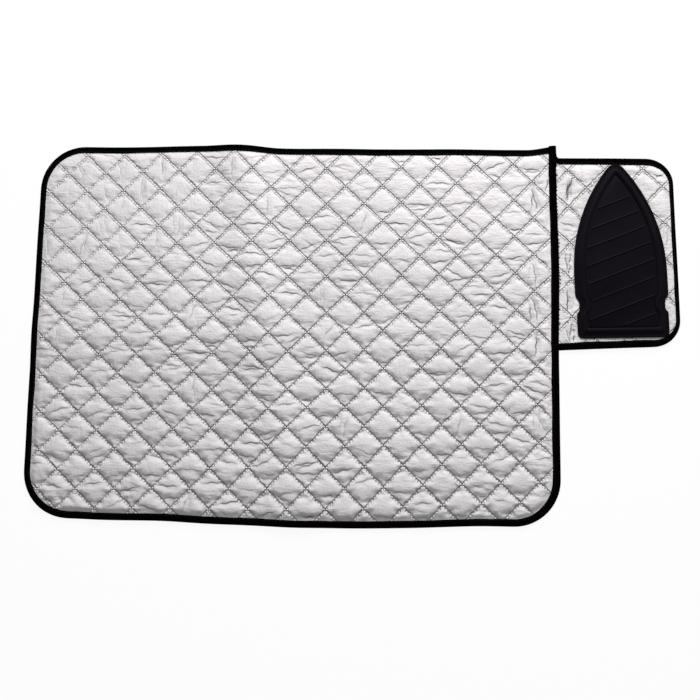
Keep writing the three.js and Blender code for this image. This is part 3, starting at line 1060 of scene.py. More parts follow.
def put_points(mesh, places):
    mesh.vertices.foreach_set("co", np.asarray(places, float).ravel())
    mesh.update()


def note(mesh, name, vectors):
    """Keeps a vector with every vertex, for the mesh's materials."""
    layer = mesh.attributes.new(name, "FLOAT_VECTOR", "POINT")
    layer.data.foreach_set("vector", np.asarray(vectors, np.float32).ravel())


def put_mesh(mesh, bm, smooth=True):
    """Ends the work on a mesh."""
    bm.to_mesh(mesh)
    bm.free()
    mesh.polygons.foreach_set("use_smooth", [smooth] * len(mesh.polygons))


def finished(name, bm, material, smooth=True):
    """An object of that mesh, in place and with its material."""
    mesh = bpy.data.meshes.new(name)
    put_mesh(mesh, bm, smooth)
    mesh.materials.append(material)
    made = bpy.data.objects.new(name, mesh)
    bpy.context.scene.collection.objects.link(made)
    return made


def lattice(crossing):
    """From cells of the quilting, counted from a crossing, to the row frame."""
    quilt = settings().quilt
    rising = quilt.rising_side * Vector((math.cos(quilt.rising), math.sin(quilt.rising)))
    falling = quilt.falling_side * Vector((math.cos(quilt.falling), math.sin(quilt.falling)))
    return Matrix(
        (
            (rising.x, falling.x, 0, crossing.x),
            (rising.y, falling.y, 0, crossing.y),
            (0, 0, 1, 0),
            (0, 0, 0, 1),
        )
    )


def pad_lattice():
    shift = settings().quilt.pad_crossing
    return lattice(PAD_MIDDLE.xy + Vector(shift))


def flap_lattice():
    shift = settings().quilt.flap_crossing
    return lattice(Vector((SEAM_X, FLAP_HIGH.y)) + Vector(shift))


def cells_of(cells_to_row, places):
    back = np.array(cells_to_row.inverted())
    return places @ back[:3, :3].T + back[:3, 3]


def off_lines(cells):
    """Distance of each point from the nearest stitch line of either set, in cells."""
    return np.abs(cells[:, :2] - np.round(cells[:, :2]))


def cells_across(outline, cells_to_row):
    """How many cells the outline reaches from the crossing that they are counted from."""
    corners = cells_of(cells_to_row, spatial(outline.points))
    return int(np.abs(corners[:, :2]).max()) + 1


EDGE_INSET = 0.0015


def gathered(cell, share):
    """Moves evenly spread lines of a grid closer to the stitch lines, at whole cells."""
    return cell - share * math.sin(FULL_TURN * cell) / FULL_TURN


def lattice_sheet(outline, cells_to_row, steps, gather=0.0):
    """Flat sheet whose faces follow the quilting, cut to the outline under its tape."""
    reach = cells_across(outline, cells_to_row)
    bm = bmesh.new()
    bmesh.ops.create_grid(
        bm,
        x_segments=2 * reach * steps,
        y_segments=2 * reach * steps,
        size=reach,
    )
    for vert in bm.verts:
        vert.co.x = gathered(vert.co.x, gather)
        vert.co.y = gathered(vert.co.y, gather)
    bmesh.ops.transform(bm, matrix=cells_to_row, verts=bm.verts[:])
    places = np.array([tuple(vert.co) for vert in bm.verts])
    outside = outline.depth(places)[0] < EDGE_INSET
    verts = [vert for vert, gone in zip(bm.verts, outside) if gone]
    bmesh.ops.delete(bm, geom=verts, context="VERTS")
    bm.normal_update()
    if next(iter(bm.faces)).normal.z < 0:
        bmesh.ops.reverse_faces(bm, faces=bm.faces[:])
    return bm


# The cover's cloth while it is drawn in: frames, stiffness, limits in metres, and the uneven
# rise that it starts with.
CLOTH_FRAMES = 12
SEWN_FRAME = 7
CLOTH_QUALITY = 5
CLOTH_MASS = 0.002
CLOTH_STIFFNESS = 15.0
CLOTH_SHEAR = 5.0
SIDE_LIMIT = 0.0015
FIRST_BULGE = 0.0008
BULGE_SCALE = 60.0
BULGE_LEVEL = 0.1
RIDGE_SCALE = (40.0, 160.0)
RIDGE_LEVEL = 3.0


def first_bulge(flat):
    """Small uneven rise of the cloth, from which the pressure goes on."""
    wide, long = RIDGE_SCALE
    return np.array(
        [
            FIRST_BULGE * (1.0 + noise.noise(Vector((x, y, BULGE_LEVEL)) * BULGE_SCALE))
            + FIRST_BULGE / 2 * noise.noise(Vector((x * wide, y * long, RIDGE_LEVEL)))
            for x, y, _ in flat
        ]
    )


def simulated(mesh, cut, sewn, held):
    """Where cloth ends that pressure fills while its held points go from cut to sewn."""
    quilt = settings().quilt
    scene = bpy.context.scene
    work = bpy.data.objects.new("cover cloth", mesh.copy())
    scene.collection.objects.link(work)
    put_points(work.data, cut)
    pins = work.vertex_groups.new(name="sewn")
    pins.add(np.flatnonzero(held).tolist(), 1.0, "REPLACE")
    work.shape_key_add(name="cut")
    key = work.shape_key_add(name="sewn")
    key.data.foreach_set("co", sewn.ravel())
    for step, value in ((1, 0.0), (SEWN_FRAME, 1.0)):
        key.value = value
        key.keyframe_insert("value", frame=step)
    cloth = work.modifiers.new("Cloth", "CLOTH")
    cloth.settings.quality = CLOTH_QUALITY
    cloth.settings.mass = CLOTH_MASS
    cloth.settings.tension_stiffness = CLOTH_STIFFNESS
    cloth.settings.compression_stiffness = CLOTH_STIFFNESS
    cloth.settings.shear_stiffness = CLOTH_SHEAR
    cloth.settings.bending_stiffness = quilt.bending
    cloth.settings.vertex_group_mass = "sewn"
    cloth.settings.effector_weights.gravity = 0.0
    cloth.settings.use_pressure = True
    cloth.settings.uniform_pressure_force = quilt.pressure
    cloth.collision_settings.use_collision = False
    cloth.point_cache.frame_start = 1
    cloth.point_cache.frame_end = CLOTH_FRAMES
    for step in range(1, CLOTH_FRAMES + 1):
        scene.frame_set(step)
    shown = work.evaluated_get(bpy.context.evaluated_depsgraph_get())
    places = points_of(shown.data)
    scene.frame_set(1)
    bpy.data.objects.remove(work)
    return places


def drawn_in(mesh, flat, held):
    """Where the cover's cloth goes when its sewn lines draw it in over the wadding."""
    quilt = settings().quilt
    start = flat.copy()
    free = ~held
    start[free, 2] += first_bulge(flat)[free]
    cut = start.copy()
    cut[:, 0] *= 1.0 + quilt.slack_across
    cut[:, 1] *= 1.0 + quilt.slack_along
    moved = simulated(mesh, cut, start, held) - flat
    moved[:, :2] = np.clip(moved[:, :2], -SIDE_LIMIT, SIDE_LIMIT)
    moved[:, 2] = np.clip(moved[:, 2], 0.0, quilt.rise_limit)
    moved[held] = 0.0
    return flat + moved


# Pleats. Places and reaches are shares of half a diamond's width, turns are in radians, and
# other lengths are in metres.
EASE_RUN = 0.007
EASE_POWER = 0.7
LEAST_GAIN = 0.7
PLEAT_SEED = 11
PLEAT_ONSET = 2.5
PLEAT_UPPER = 0.0018
PLEAT_LOWER = 0.0065
PLEAT_LEAN = 0.22
PLEAT_PLACE = (-0.72, 0.32)
PLEAT_BOW = (-9.0, 9.0)
PLEAT_DEPTH = (0.3, 1.0)
PLEAT_DEPTH_POWER = 1.5
PLEAT_MIDDLE = (-0.3, 0.3)
PLEAT_REACH = (0.7, 1.2)
PLEAT_WOBBLE = 0.0006
PLEAT_WAVE = 0.013
PLEAT_SHARE = 0.5
CREASED_SHARE = 0.4
CREASED_HALF = 0.08
UPRIGHT_SPREAD = 0.4
UPRIGHT_SHIFT = 0.15
UPRIGHT_DEPTH = 0.8
SEAM_DEPTH = 1.7


def firmed(top, flat, folds, past_tape):
    """Crowns with a steep brink beside the stitch lines, and pleats in them.

    The depths of the folds are made to fade out towards the stitch lines.
    """
    quilt = settings().quilt
    full = np.clip((top[:, 2] - flat[:, 2]) / quilt.rise_limit, 0.0, 1.0)
    ease = np.clip(past_tape / EASE_RUN, 0.0, 1.0) ** EASE_POWER
    shaped = flat + (top - flat) * ease[:, None]
    gain = 1.0 - quilt.near_gain * (flat[:, 1] - PAD_MIDDLE.y) / (PAD_HIGH.y - PAD_MIDDLE.y)
    rise = quilt.brink * gain * full**quilt.steepness
    crown = (quilt.crown - quilt.brink) * np.maximum(gain, LEAST_GAIN)
    rise += crown * (1.0 - (1.0 - full) ** quilt.fullness)
    for off, depth in folds:
        depth *= smoothed(full * PLEAT_ONSET)
        fall = np.exp(-np.abs(off) / np.where(off > 0, PLEAT_UPPER, PLEAT_LOWER))
        rise -= quilt.pleat * gain * depth * fall
    shaped[:, 2] = flat[:, 2] + np.maximum(rise, 0.0) * ease
    return shaped


def pleats(cells, cells_to_row, upright_share):
    """Pleats in each diamond: how far off each point is, and how deep they are."""
    lie = settings().lie
    index = np.floor(cells[:, :2]).astype(int)
    low = index.min(axis=0)
    shape = tuple(index.max(axis=0) - low + 1)
    home = tuple((index - low).T)
    draw = np.random.default_rng(PLEAT_SEED)

    def drawn(least, most):
        return draw.uniform(least, most, shape)[home]

    half = settings().quilt.rising_side / math.sqrt(2)
    turn = np.array(cells_to_row)
    middles = (index + 0.5) @ turn[:2, :2].T + turn[:2, 3]
    local = (cells[:, :2] - index - 0.5) @ turn[:2, :2].T
    far = (middles[:, 1] - PAD_LOW.y) / (PAD_HIGH.y - PAD_LOW.y)
    creased = hump(middles[:, 0] - CREASE_X + lie.crease_lean * far, CREASED_HALF)
    beside_seam = hump(middles[:, 0] - SEAM_X, CREASED_HALF)
    often = PLEAT_SHARE + CREASED_SHARE * np.maximum(creased, beside_seam)
    upright = draw.random(shape)[home] < upright_share(middles)
    deeper = np.where(upright, UPRIGHT_DEPTH + SEAM_DEPTH * beside_seam, 1.0)
    folds = []
    for _ in PLEAT_NAMES:
        lean = draw.normal(0.0, PLEAT_LEAN, shape)[home]
        place = drawn(*PLEAT_PLACE) * half
        bow = drawn(*PLEAT_BOW)
        depth = drawn(*PLEAT_DEPTH) ** PLEAT_DEPTH_POWER
        depth *= draw.random(shape)[home] < often
        depth *= deeper
        phase = drawn(0.0, FULL_TURN)
        middle = drawn(*PLEAT_MIDDLE) * half
        reach = drawn(*PLEAT_REACH) * half
        turned = lean + np.where(upright, QUARTER_TURN, 0.0)
        along = local[:, 0] * np.cos(turned) + local[:, 1] * np.sin(turned)
        across = -local[:, 0] * np.sin(turned) + local[:, 1] * np.cos(turned)
        place = np.where(upright, UPRIGHT_SPREAD * place + UPRIGHT_SHIFT * half, place)
        depth *= hump(along - middle, reach)
        wobble = PLEAT_WOBBLE * np.sin(along * 2 * math.pi / PLEAT_WAVE + phase)
        folds.append((across - place - bow * along**2 - wobble, depth))
    return folds


# Where pleats stand upright: left of one X and far of one Y, each with its run in metres, and
# the share of diamonds there, beside the seam, elsewhere and on the flap.
UPRIGHT_X = -0.12
UPRIGHT_X_RUN = 0.15
UPRIGHT_Y = 0.03
UPRIGHT_Y_RUN = 0.1
UPRIGHT_LEFT = 0.7
UPRIGHT_SEAM = 0.95
UPRIGHT_ELSEWHERE = 0.04
UPRIGHT_FLAP = 0.7


def pad_upright(middles):
    """Share of upright pleats on the pad: most are far left, and beside the seam."""
    x, y = middles.T
    left = smoothed((UPRIGHT_X - x) / UPRIGHT_X_RUN)
    left *= smoothed((y - UPRIGHT_Y) / UPRIGHT_Y_RUN)
    beside_seam = hump(x - SEAM_X, CREASED_HALF) * (y > FLAP_LOW.y)
    return UPRIGHT_ELSEWHERE + np.maximum(UPRIGHT_LEFT * left, UPRIGHT_SEAM * beside_seam)


def flap_upright(middles):
    """Share of upright pleats on the flap, where the seam gathers the cloth."""
    return np.full(len(middles), UPRIGHT_FLAP)


STOWED_FROM = 0.0068
STOWED_TO = 0.0081
STOWED_MARGIN = 0.012


def flattened(places):
    """Crowns kept low where the rest lies on them while the flap is folded over."""
    low, high = (Vector(corner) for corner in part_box("iron_rest"))
    x, y, height = places.T
    inside = np.minimum(x - 2 * SEAM_X + high.x, 2 * SEAM_X - low.x - x)
    inside = np.minimum(inside, np.minimum(y - low.y, high.y - y))
    under = smoothed(1.0 + inside / STOWED_MARGIN)
    spare = STOWED_TO - STOWED_FROM
    over = np.maximum(height - STOWED_FROM, 0.0)
    kept = places.copy()
    kept[:, 2] -= under * (over - spare * np.tanh(over / spare))
    return kept


ON_LINE = 0.004
COVER_GATHER = 0.65
BASE_GAP = 0.0006


def close_below(mesh, flat, middles):
    """Adds a flat underside to a cover, without the middles of its faces."""
    bm = bmesh.new()
    bm.from_mesh(mesh)
    under = bmesh.ops.duplicate(bm, geom=bm.faces[:] + bm.edges[:] + bm.verts[:])["geom"]
    sunk = [part for part in under if isinstance(part, bmesh.types.BMVert)]
    faces = [part for part in under if isinstance(part, bmesh.types.BMFace)]
    bottom = flat.copy()
    bottom[:, 2] = WADDING_BASE + BASE_GAP
    for vert, place in zip(sunk, settle(bottom)):
        vert.co = place
    bmesh.ops.reverse_faces(bm, faces=faces)
    rim = [edge for edge in bm.edges if edge.is_boundary]
    bmesh.ops.bridge_loops(bm, edges=rim)
    bmesh.ops.dissolve_verts(bm, verts=[sunk[index] for index in middles])
    put_mesh(mesh, bm)


def quilted_cover(name, outline, cells_to_row, pressed, upright_share):
    """Closed quilted pad: cloth drawn in along its stitch lines over a flat underside."""
    quilt = settings().quilt
    bm = lattice_sheet(outline, cells_to_row, quilt.cell_steps, COVER_GATHER)
    poked = bmesh.ops.poke(bm, faces=bm.faces[:])["verts"]
    bm.verts.index_update()
    middles = [vert.index for vert in poked]
    bmesh.ops.translate(bm, vec=(0.0, 0.0, STITCH_HEIGHT), verts=bm.verts[:])
    made = finished(name, bm, cover_cloth())
    mesh = made.data
    flat = points_of(mesh)
    cells = cells_of(cells_to_row, flat)
    held = off_lines(cells).min(axis=1) < ON_LINE
    _, past_tape = outline.depth(flat)
    held |= past_tape < 0.0
    held |= pressed(flat)
    folds = pleats(cells, cells_to_row, upright_share)
    top = firmed(drawn_in(mesh, flat, held), flat, folds, past_tape)
    for fold_name, fold in zip(PLEAT_NAMES, folds):
        note(mesh, fold_name, spatial(np.stack(fold, axis=1)))
    note(mesh, "flat", flat)
    note(mesh, "cells", cells)
    put_points(mesh, flattened(settle(top)))
    close_below(mesh, flat, middles)
    return made


BACKING_STEPS = 12
BACKING_PULL = 0.0007
BACKING_THICKNESS = 0.0004
PULL_RUN = 0.14
TAPE_CLEARANCE = 0.0002
TABLE_CLEARANCE = 0.0001


def backing_sheet(name, outline, cells_to_row):
    """Plain cloth under the pad, pulled up a little along the stitch lines."""
    tape = settings().tape
    bm = lattice_sheet(outline, cells_to_row, BACKING_STEPS)
    made = finished(name, bm, backing_cloth())
    flat = points_of(made.data)
    cells = cells_of(cells_to_row, flat)
    pulled = BACKING_PULL * (1.0 - smoothed(off_lines(cells).min(axis=1) / PULL_RUN))
    edge = 1.0 - smoothed(outline.depth(flat)[1] / EASE_RUN)
    over_tape = edge * (tape.thickness + TAPE_CLEARANCE)
    laid = flat.copy()
    laid[:, 2] = np.maximum(pulled, over_tape) + TABLE_CLEARANCE
    put_points(made.data, settle(laid))
    note(made.data, "flat", flat)
    shell = made.modifiers.new("Solidify", "SOLIDIFY")
    shell.thickness = BACKING_THICKNESS
    shell.offset = 1.0
    return made


def swept(name, columns, rows, place, material):
    """Sheet of faces in columns and rows, each point where place(column, row) says."""
    bm = bmesh.new()
    bmesh.ops.create_grid(bm, x_segments=columns, y_segments=rows, size=0.5)
    runs = []
    for vert in bm.verts:
        column = round((vert.co.x + 0.5) * columns)
        row = round((vert.co.y + 0.5) * rows)
        where, run = place(column, row)
        vert.co = where
        runs.append(run)
    made = finished(name, bm, material)
    note(made.data, "run", runs)
    return made


# Section of the tape: how it rounds the edge below and above, as insets with heights from its
# foot and from its top, and the relief of its upper side, as shares of its width with heights.
FOOT_ROUND = ((0.0012, 0.0), (0.0004, 0.0003), (0.0, 0.0011))
TOP_ROUND = ((0.0, -0.0011), (0.0004, -0.0003), (0.0013, 0.0001))
TOP_RELIEF = ((0.4, 0.0003), (0.7, 0.0001), (0.86, 0.0003))
LIP_INSET = 0.0003
LIP_RISE = 0.0001


def tape_section(width):
    """Section of the folded tape as (inset, height), from inside below to inside above."""
    thick = settings().tape.thickness
    top = TAPE_TOP
    lip = width - LIP_INSET
    return [
        (lip, thick),
        (width, 0.5 * thick),
        (lip, 0.0),
        *FOOT_ROUND,
        *((inset, top + height) for inset, height in TOP_ROUND),
        *((share * width, top + height) for share, height in TOP_RELIEF),
        (lip, top + LIP_RISE),
        (width, top - 0.5 * thick),
        (lip, top - thick),
        (thick, top - thick),
        (thick, thick),
        (lip, thick),
    ]


TAPE_STEP = 0.0035
LAP_RUN = 0.014
LAP_LIFT = 0.0007
WANDER_LENGTH = 0.03
WANDER_ROW = 0.5
MERGE_DISTANCE = 1e-6


def edge_tape(name, outline, close, overlap):
    """Tape folded over the edge, all along the outline."""
    tape = settings().tape
    places, outward, stops = outline.walk(TAPE_STEP, close)
    last = len(places) - 1
    if overlap:
        places = np.vstack([places, places[last] + [0.0, overlap]])
        outward = np.vstack([outward, outward[last]])
        stops = np.append(stops, stops[last] + overlap)
        last += 1
    lap = LAP_LIFT * smoothed(1.0 - (stops[last] - stops) / LAP_RUN) * bool(overlap)
    wander = [
        tape.wander * noise.noise(Vector((stop / WANDER_LENGTH, WANDER_ROW, len(name))))
        for stop in stops
    ]
    sections = [
        tape_section(width + more) for width, more in zip(outline.tape_width(outward), wander)
    ]
    points = np.array(
        [
            (*(place - normal * inset), height + lift)
            for place, normal, section, lift in zip(places, outward, sections, lap)
            for inset, height in section
        ]
    )
    count = len(sections[0])
    laid = settle(points).reshape(last + 1, count, 3)

    def place(column, row):
        inset, height = sections[column][row]
        return laid[column][row], (stops[column], inset + height, 0.0)

    made = swept(name, last, count - 1, place, tape_cloth())
    bm = bmesh.new()
    bm.from_mesh(made.data)
    bmesh.ops.remove_doubles(bm, verts=bm.verts[:], dist=MERGE_DISTANCE)
    ends = [edge for edge in bm.edges if edge.is_boundary]
    bmesh.ops.holes_fill(bm, edges=ends, sides=0)
    bmesh.ops.recalc_face_normals(bm, faces=bm.faces[:])
    put_mesh(made.data, bm)
    return made


STITCH_FILL = 0.78
STITCH_FLATNESS = 0.8


def copies(bm, count):
    """Repeats what the mesh holds until it is there that many times, in order."""
    sizes = [len(bm.verts), len(bm.edges), len(bm.faces)]
    there = 1
    while there < count:
        more = min(there, count - there)
        for parts in (bm.verts, bm.edges, bm.faces):
            parts.ensure_lookup_table()
        verts, edges, faces = (more * size for size in sizes)
        bmesh.ops.duplicate(
            bm, geom=bm.verts[:verts] + bm.edges[:edges] + bm.faces[:faces]
        )
        there += more


def stitches(name, places, headings, material, length, thick):
    """A row of stitches: one small grain of thread at each place, along its heading."""
    bm = bmesh.new()
    bmesh.ops.create_icosphere(bm, subdivisions=1, radius=0.5)
    grain = np.array([tuple(vert.co) for vert in bm.verts])
    grain *= (length, thick, thick * STITCH_FLATNESS)
    copies(bm, len(places))
    made = finished(name, bm, material)
    along = headings / np.linalg.norm(headings, axis=1)[:, None]
    side = np.cross((0.0, 0.0, 1.0), along)
    side /= np.linalg.norm(side, axis=1)[:, None]
    axes = np.stack([along, side, np.cross(along, side)], axis=1)
    put_points(made.data, (grain @ axes + places[:, None, :]).reshape(-1, 3))
    return made


STITCH_RISE = 0.0002
STITCH_CLEARANCE = 0.001
NOSE = 0.001


def quilt_rows(outline, cells_to_row, covered):
    """Middles and directions of the quilting's stitches, flat, inside the outline."""
    in_side = settings().quilt.stitches_in_side
    reach = cells_across(outline, cells_to_row)
    count = 2 * reach * in_side
    runs = (np.arange(count) + 0.5) / in_side - reach
    still, ahead = np.zeros(count), np.ones(count)
    rows = []
    for line in range(-reach, reach + 1):
        level = np.full(count, line)
        rows.append(np.stack([level, runs, still, ahead], axis=1))
        rows.append(np.stack([runs, level, ahead, still], axis=1))
    rows = np.vstack(rows)
    turn = np.array(cells_to_row)
    places = rows[:, :2] @ turn[:2, :2].T + turn[:2, 3]
    places[:, 1] -= STITCH_SHIFT
    headings = rows[:, 2:] @ turn[:2, :2].T
    keep = outline.depth(places)[1] > STITCH_CLEARANCE
    flat, headings = spatial(places[keep]), headings[keep]
    open_cloth = ~covered(flat)
    return flat[open_cloth], headings[open_cloth]


def onto(cover, places):
    """The same places, moved up or down onto the cover."""
    bpy.context.view_layer.update()
    down = Vector((0.0, 0.0, -1.0))
    moved = places.copy()
    for place in moved:
        found, spot, _, _ = cover.ray_cast(Vector((place[0], place[1], 1.0)), down)
        if not found:
            raise RuntimeError("a stitch lies off the cover")
        place[2] = spot.z + STITCH_RISE
    return moved


def laid_rows(flat, headings, height):
    """Stitches laid down as the cloth lies, with the direction they then have."""
    flat = flat.copy()
    flat[:, 2] = height
    unit = headings / np.linalg.norm(headings, axis=1)[:, None]
    nose = flat.copy()
    nose[:, :2] += unit * NOSE
    here = settle(flat)
    return here, settle(nose) - here


def quilting(name, cover, outline, cells_to_row, covered, material):
    """Stitches of the quilting, on a cover that is in place."""
    quilt = settings().quilt
    flat, headings = quilt_rows(outline, cells_to_row, covered)
    here, heading = laid_rows(flat, headings, STITCH_HEIGHT)
    return stitches(name, onto(cover, here), heading, material, quilt.stitch, quilt.thread)


def tape_stitch():
    """Length and thickness of the stitches in the tape and the rest."""
    tape = settings().tape
    return tape.stitch_length * STITCH_FILL, tape.thread


def tape_stitches(name, outline, close, material):
    """Stitches along a tape, beside its inner edge."""
    tape = settings().tape
    places, outward, _ = outline.walk(tape.stitch_length, close)
    inset = outline.tape_width(outward) - tape.stitch_margin
    flat = spatial(places - outward * inset[:, None])
    here, heading = laid_rows(flat, along_edge(outward), TAPE_TOP + STITCH_RISE)
    return stitches(name, here, heading, material, *tape_stitch())


RING_DEPTH = 1e-5
RING_DIGITS = 7


def rest_stitches(name, material):
    """Stitches that hold the rest, along the upper edge of its thread."""
    tape = settings().tape
    loop = points_of(frame["nodes"]["rest_thread"].data)
    height = loop[:, 2].max()
    upper = loop[loop[:, 2] > height - RING_DEPTH]
    ring = np.unique(np.round(upper, RING_DIGITS), axis=0)
    middle = ring.mean(axis=0)
    turn = np.arctan2(ring[:, 1] - middle[1], ring[:, 0] - middle[0])
    path = Outline([(x, y, 0) for x, y, _ in ring[np.argsort(turn)]])
    places, outward, _ = path.walk(tape.stitch_length, True)
    here = spatial(places)
    here[:, 2] = height - tape.thread / 2
    return stitches(name, here, spatial(along_edge(outward)), material, *tape_stitch())


REST_REACH = 0.01
REST_MARGIN = 0.002


def under_rest(flat):
    """True for places on the flap that the iron rest covers or presses down."""
    rest = frame["nodes"]["iron_rest"]
    low, high = (Vector(corner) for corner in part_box("iron_rest"))
    hidden = np.zeros(len(flat), bool)
    for index, (x, y, _) in enumerate(flat):
        beside_x = low.x - REST_REACH < x < high.x + REST_REACH
        beside_y = low.y - REST_REACH < y < high.y + REST_REACH
        if not (beside_x and beside_y):
            continue
        found, near, _, _ = rest.closest_point_on_mesh(Vector((x, y, low.z)))
        hidden[index] = found and (near.xy - Vector((x, y))).length < REST_MARGIN
    return hidden


SEAM_PRESS = 0.004


def pressed_flap(flat):
    """True for places on the flap that lie under the rest or in the seam."""
    return under_rest(flat) | (flat[:, 0] < SEAM_X + SEAM_PRESS)


def nowhere(flat):
    """True for no place: nothing lies on the pad's cover."""
    return np.zeros(len(flat), bool)


def fold_pad(piece):
    """Bakes the piece's place into its mesh; nothing here bends it at the pad's centre crease.
    """
    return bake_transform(piece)


def fold_flap(piece):
    """Bakes the piece's place into its mesh; nothing here bends it beside the seam between the
    pad and its flap.
    """
    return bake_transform(piece)


# Operators


class PadCover(bpy.types.Operator):
    """Makes the pad's quilted cover, with its wadding."""

    bl_idname = "ironing_pad.pad_cover"
    bl_label = "Pad cover"

    def execute(self, context):
        cover = quilted_cover("pad_cover", pad_outline(), pad_lattice(), nowhere, pad_upright)
        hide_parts("cover_left", "cover_right", "wadding_left", "wadding_right")
        fold_pad(cover)
        grey = thread("grey quilting thread", settings().finish.quilting_thread)
        rows = quilting("pad_quilting", cover, pad_outline(), pad_lattice(), nowhere, grey)
        fold_pad(rows)
        return {"FINISHED"}


class PadBacking(bpy.types.Operator):
    """Makes the plain cloth of the pad's underside."""

    bl_idname = "ironing_pad.pad_backing"
    bl_label = "Pad backing"

    def execute(self, context):
        backing = backing_sheet("pad_backing", pad_outline(), pad_lattice())
        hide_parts("backing_left", "backing_right")
        fold_pad(backing)
        return {"FINISHED"}


class PadBinding(bpy.types.Operator):
    """Makes the tape round the pad, and its stitches."""

    bl_idname = "ironing_pad.pad_binding"
    bl_label = "Pad binding"

    def execute(self, context):
        tape = edge_tape("pad_binding", pad_outline(), True, settings().tape.end_overlap)
        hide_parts("binding_left", "binding_right")
        fold_pad(tape)
        black = thread("black sewing thread", settings().finish.tape)
        rows = tape_stitches("pad_binding_stitches", pad_outline(), True, black)
        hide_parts("binding_thread_left", "binding_thread_right")
        fold_pad(rows)
        return {"FINISHED"}


class Flap(bpy.types.Operator):
    """Makes the flap: its quilted cover, backing, tape and stitches."""

    bl_idname = "ironing_pad.flap"
    bl_label = "Flap"

    def execute(self, context):
        outline, cells_to_row = flap_outline(), flap_lattice()
        cover = quilted_cover(
            "flap_cover_cloth", outline, cells_to_row, pressed_flap, flap_upright
        )
        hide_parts("flap_cover", "flap_wadding")
        fold_flap(cover)
        grey = bpy.data.materials["grey quilting thread"]
        rows = quilting("flap_quilting", cover, outline, cells_to_row, under_rest, grey)
        fold_flap(rows)

        backing = backing_sheet("flap_backing_cloth", outline, cells_to_row)
        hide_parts("flap_backing")
        fold_flap(backing)

        tape = edge_tape("flap_tape", outline, False, 0.0)
        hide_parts("flap_binding")
        fold_flap(tape)
        black = bpy.data.materials["black sewing thread"]
        rows = tape_stitches("flap_tape_stitches", outline, False, black)
        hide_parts("flap_binding_thread")
        fold_flap(rows)
        return {"FINISHED"}


REST_ROUNDING = 0.00035
FLAT_TURN = math.radians(1)
SHARP_TURN = math.radians(28)


class IronRest(bpy.types.Operator):
    """Makes the moulded silicone rest, with soft edges, and the stitches that hold it."""

    bl_idname = "ironing_pad.iron_rest"
    bl_label = "Iron rest"

    def execute(self, context):
        bm = bmesh.new()
        bm.from_mesh(frame["nodes"]["iron_rest"].data)
        bmesh.ops.remove_doubles(bm, verts=bm.verts[:], dist=MERGE_DISTANCE)
        bmesh.ops.dissolve_limit(
            bm, angle_limit=FLAT_TURN, verts=bm.verts[:], edges=bm.edges[:]
        )
        sharp = [
            edge
            for edge in bm.edges
            if edge.is_manifold and edge.calc_face_angle() > SHARP_TURN
        ]
        bmesh.ops.bevel(
            bm,
            geom=sharp,
            offset=REST_ROUNDING,
            affect="EDGES",
            segments=2,
            profile=0.5,
            material=-1,
            clamp_overlap=True,
        )
        rest = finished("silicone_rest", bm, silicone())
        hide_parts("iron_rest")
        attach(rest, "flap")
        black = bpy.data.materials["black sewing thread"]
        rows = rest_stitches("rest_stitches", black)
        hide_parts("rest_thread")
        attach(rows, "flap")
        return {"FINISHED"}


WHITE = (1.0, 1.0, 1.0, 1.0)
FLOOR_SIZE = 6.0
FLOOR_DROP = 0.0003
FLOOR_WHITE = 0.93
KEY_SIZE = 0.9
NEAREST = 0.01


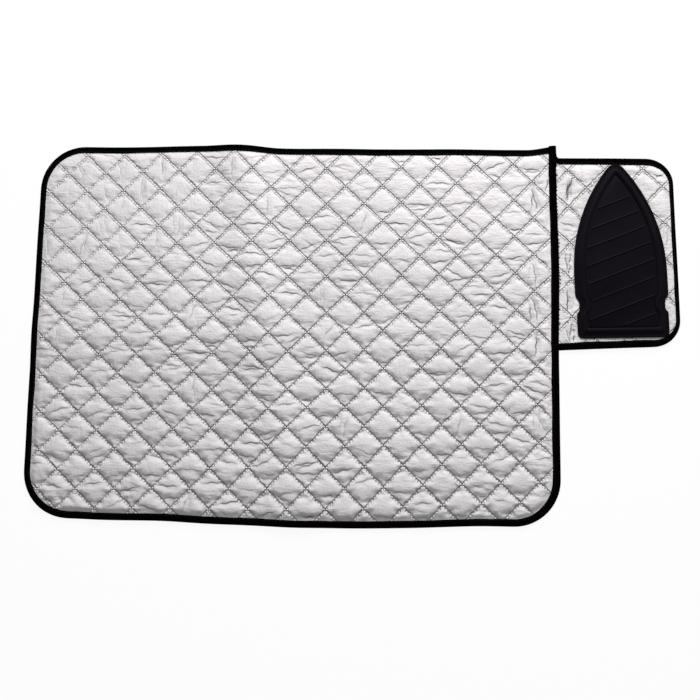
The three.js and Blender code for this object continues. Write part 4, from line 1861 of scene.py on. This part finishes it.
class Stage(bpy.types.Operator):
    """Makes the floor, the lights and the camera."""

    bl_idname = "ironing_pad.stage"
    bl_label = "Stage"

    def execute(self, context):
        stage = settings().stage
        scene = context.scene
        scene.view_settings.view_transform = "Standard"
        bm = bmesh.new()
        bmesh.ops.create_grid(
            bm,
            x_segments=1,
            y_segments=1,
            size=FLOOR_SIZE,
            matrix=Matrix.Translation((0, 0, -FLOOR_DROP)),
        )
        graph = Graph("pale floor")
        graph.surface(base_color=shade(stage.floor), roughness=MATT)
        glow = graph.node("ShaderNodeEmission", None, {"Color": WHITE, "Strength": 1.0})
        white = graph.node(
            "ShaderNodeMixShader",
            None,
            {0: FLOOR_WHITE * graph.seen(), 1: Value(graph, graph.shader.outputs[0]), 2: glow},
        )
        graph.put(graph.output.inputs["Surface"], white)
        floor = finished("floor", bm, graph.material, smooth=False)

        world = bpy.data.worlds.new("soft studio")
        scene.world = world
        around = Nodes(world)
        sky = around.tree.nodes["Background"]
        around.put(sky.inputs["Color"], WHITE)
        around.put(sky.inputs["Strength"], stage.sky + (1.0 - stage.sky) * around.seen())

        key = bpy.data.lights.new("key", "AREA")
        key.size = KEY_SIZE
        key.energy = stage.key_power
        lamp = bpy.data.objects.new("key", key)
        lamp.location = stage.key_place
        aim = Vector((CREASE_X, 0.0, 0.0)) - lamp.location
        lamp.rotation_euler = aim.to_track_quat("-Z", "Y").to_euler()
        scene.collection.objects.link(lamp)

        lens = bpy.data.cameras.new("camera")
        lens.sensor_width = SENSOR_WIDTH
        lens.lens = stage.lens
        lens.clip_start = NEAREST
        camera = bpy.data.objects.new("camera", lens)
        camera.location = Vector(stage.camera_place) + Vector((PAD_MIDDLE.x, PAD_MIDDLE.y, 0.0))
        camera.rotation_euler = stage.camera_turn
        scene.collection.objects.link(camera)
        scene.camera = camera
        return {"FINISHED"}


PIECES = (PadCover, PadBacking, PadBinding, Flap, IronRest, Stage)


class IroningPadPanel(bpy.types.Panel):
    """Lists the pad's settings and the operators that make its pieces."""

    bl_idname = "VIEW3D_PT_ironing_pad"
    bl_label = "Ironing pad"
    bl_space_type = "VIEW_3D"
    bl_region_type = "UI"
    bl_category = "Ironing pad"

    def draw(self, context):
        groups = context.scene.ironing_pad
        for name in ("quilt", "lie", "tape", "finish", "stage"):
            box = self.layout.box()
            box.label(text=name.capitalize())
            group = getattr(groups, name)
            for key in group.__annotations__:
                box.prop(group, key)
        for piece in PIECES:
            self.layout.operator(piece.bl_idname)


CLASSES = (
    QuiltSettings,
    LieSettings,
    TapeSettings,
    FinishSettings,
    StageSettings,
    IroningPadSettings,
    *PIECES,
    IroningPadPanel,
)


def register():
    for cls in CLASSES:
        bpy.utils.register_class(cls)
    bpy.types.Scene.ironing_pad = PointerProperty(type=IroningPadSettings)


def unregister():
    del bpy.types.Scene.ironing_pad
    for cls in reversed(CLASSES):
        bpy.utils.unregister_class(cls)


def main():
    register()
    bpy.ops.ironing_pad.pad_cover()
    bpy.ops.ironing_pad.pad_backing()
    bpy.ops.ironing_pad.pad_binding()
    bpy.ops.ironing_pad.flap()
    bpy.ops.ironing_pad.iron_rest()
    bpy.ops.ironing_pad.stage()


if __name__ == "__main__":
    main()
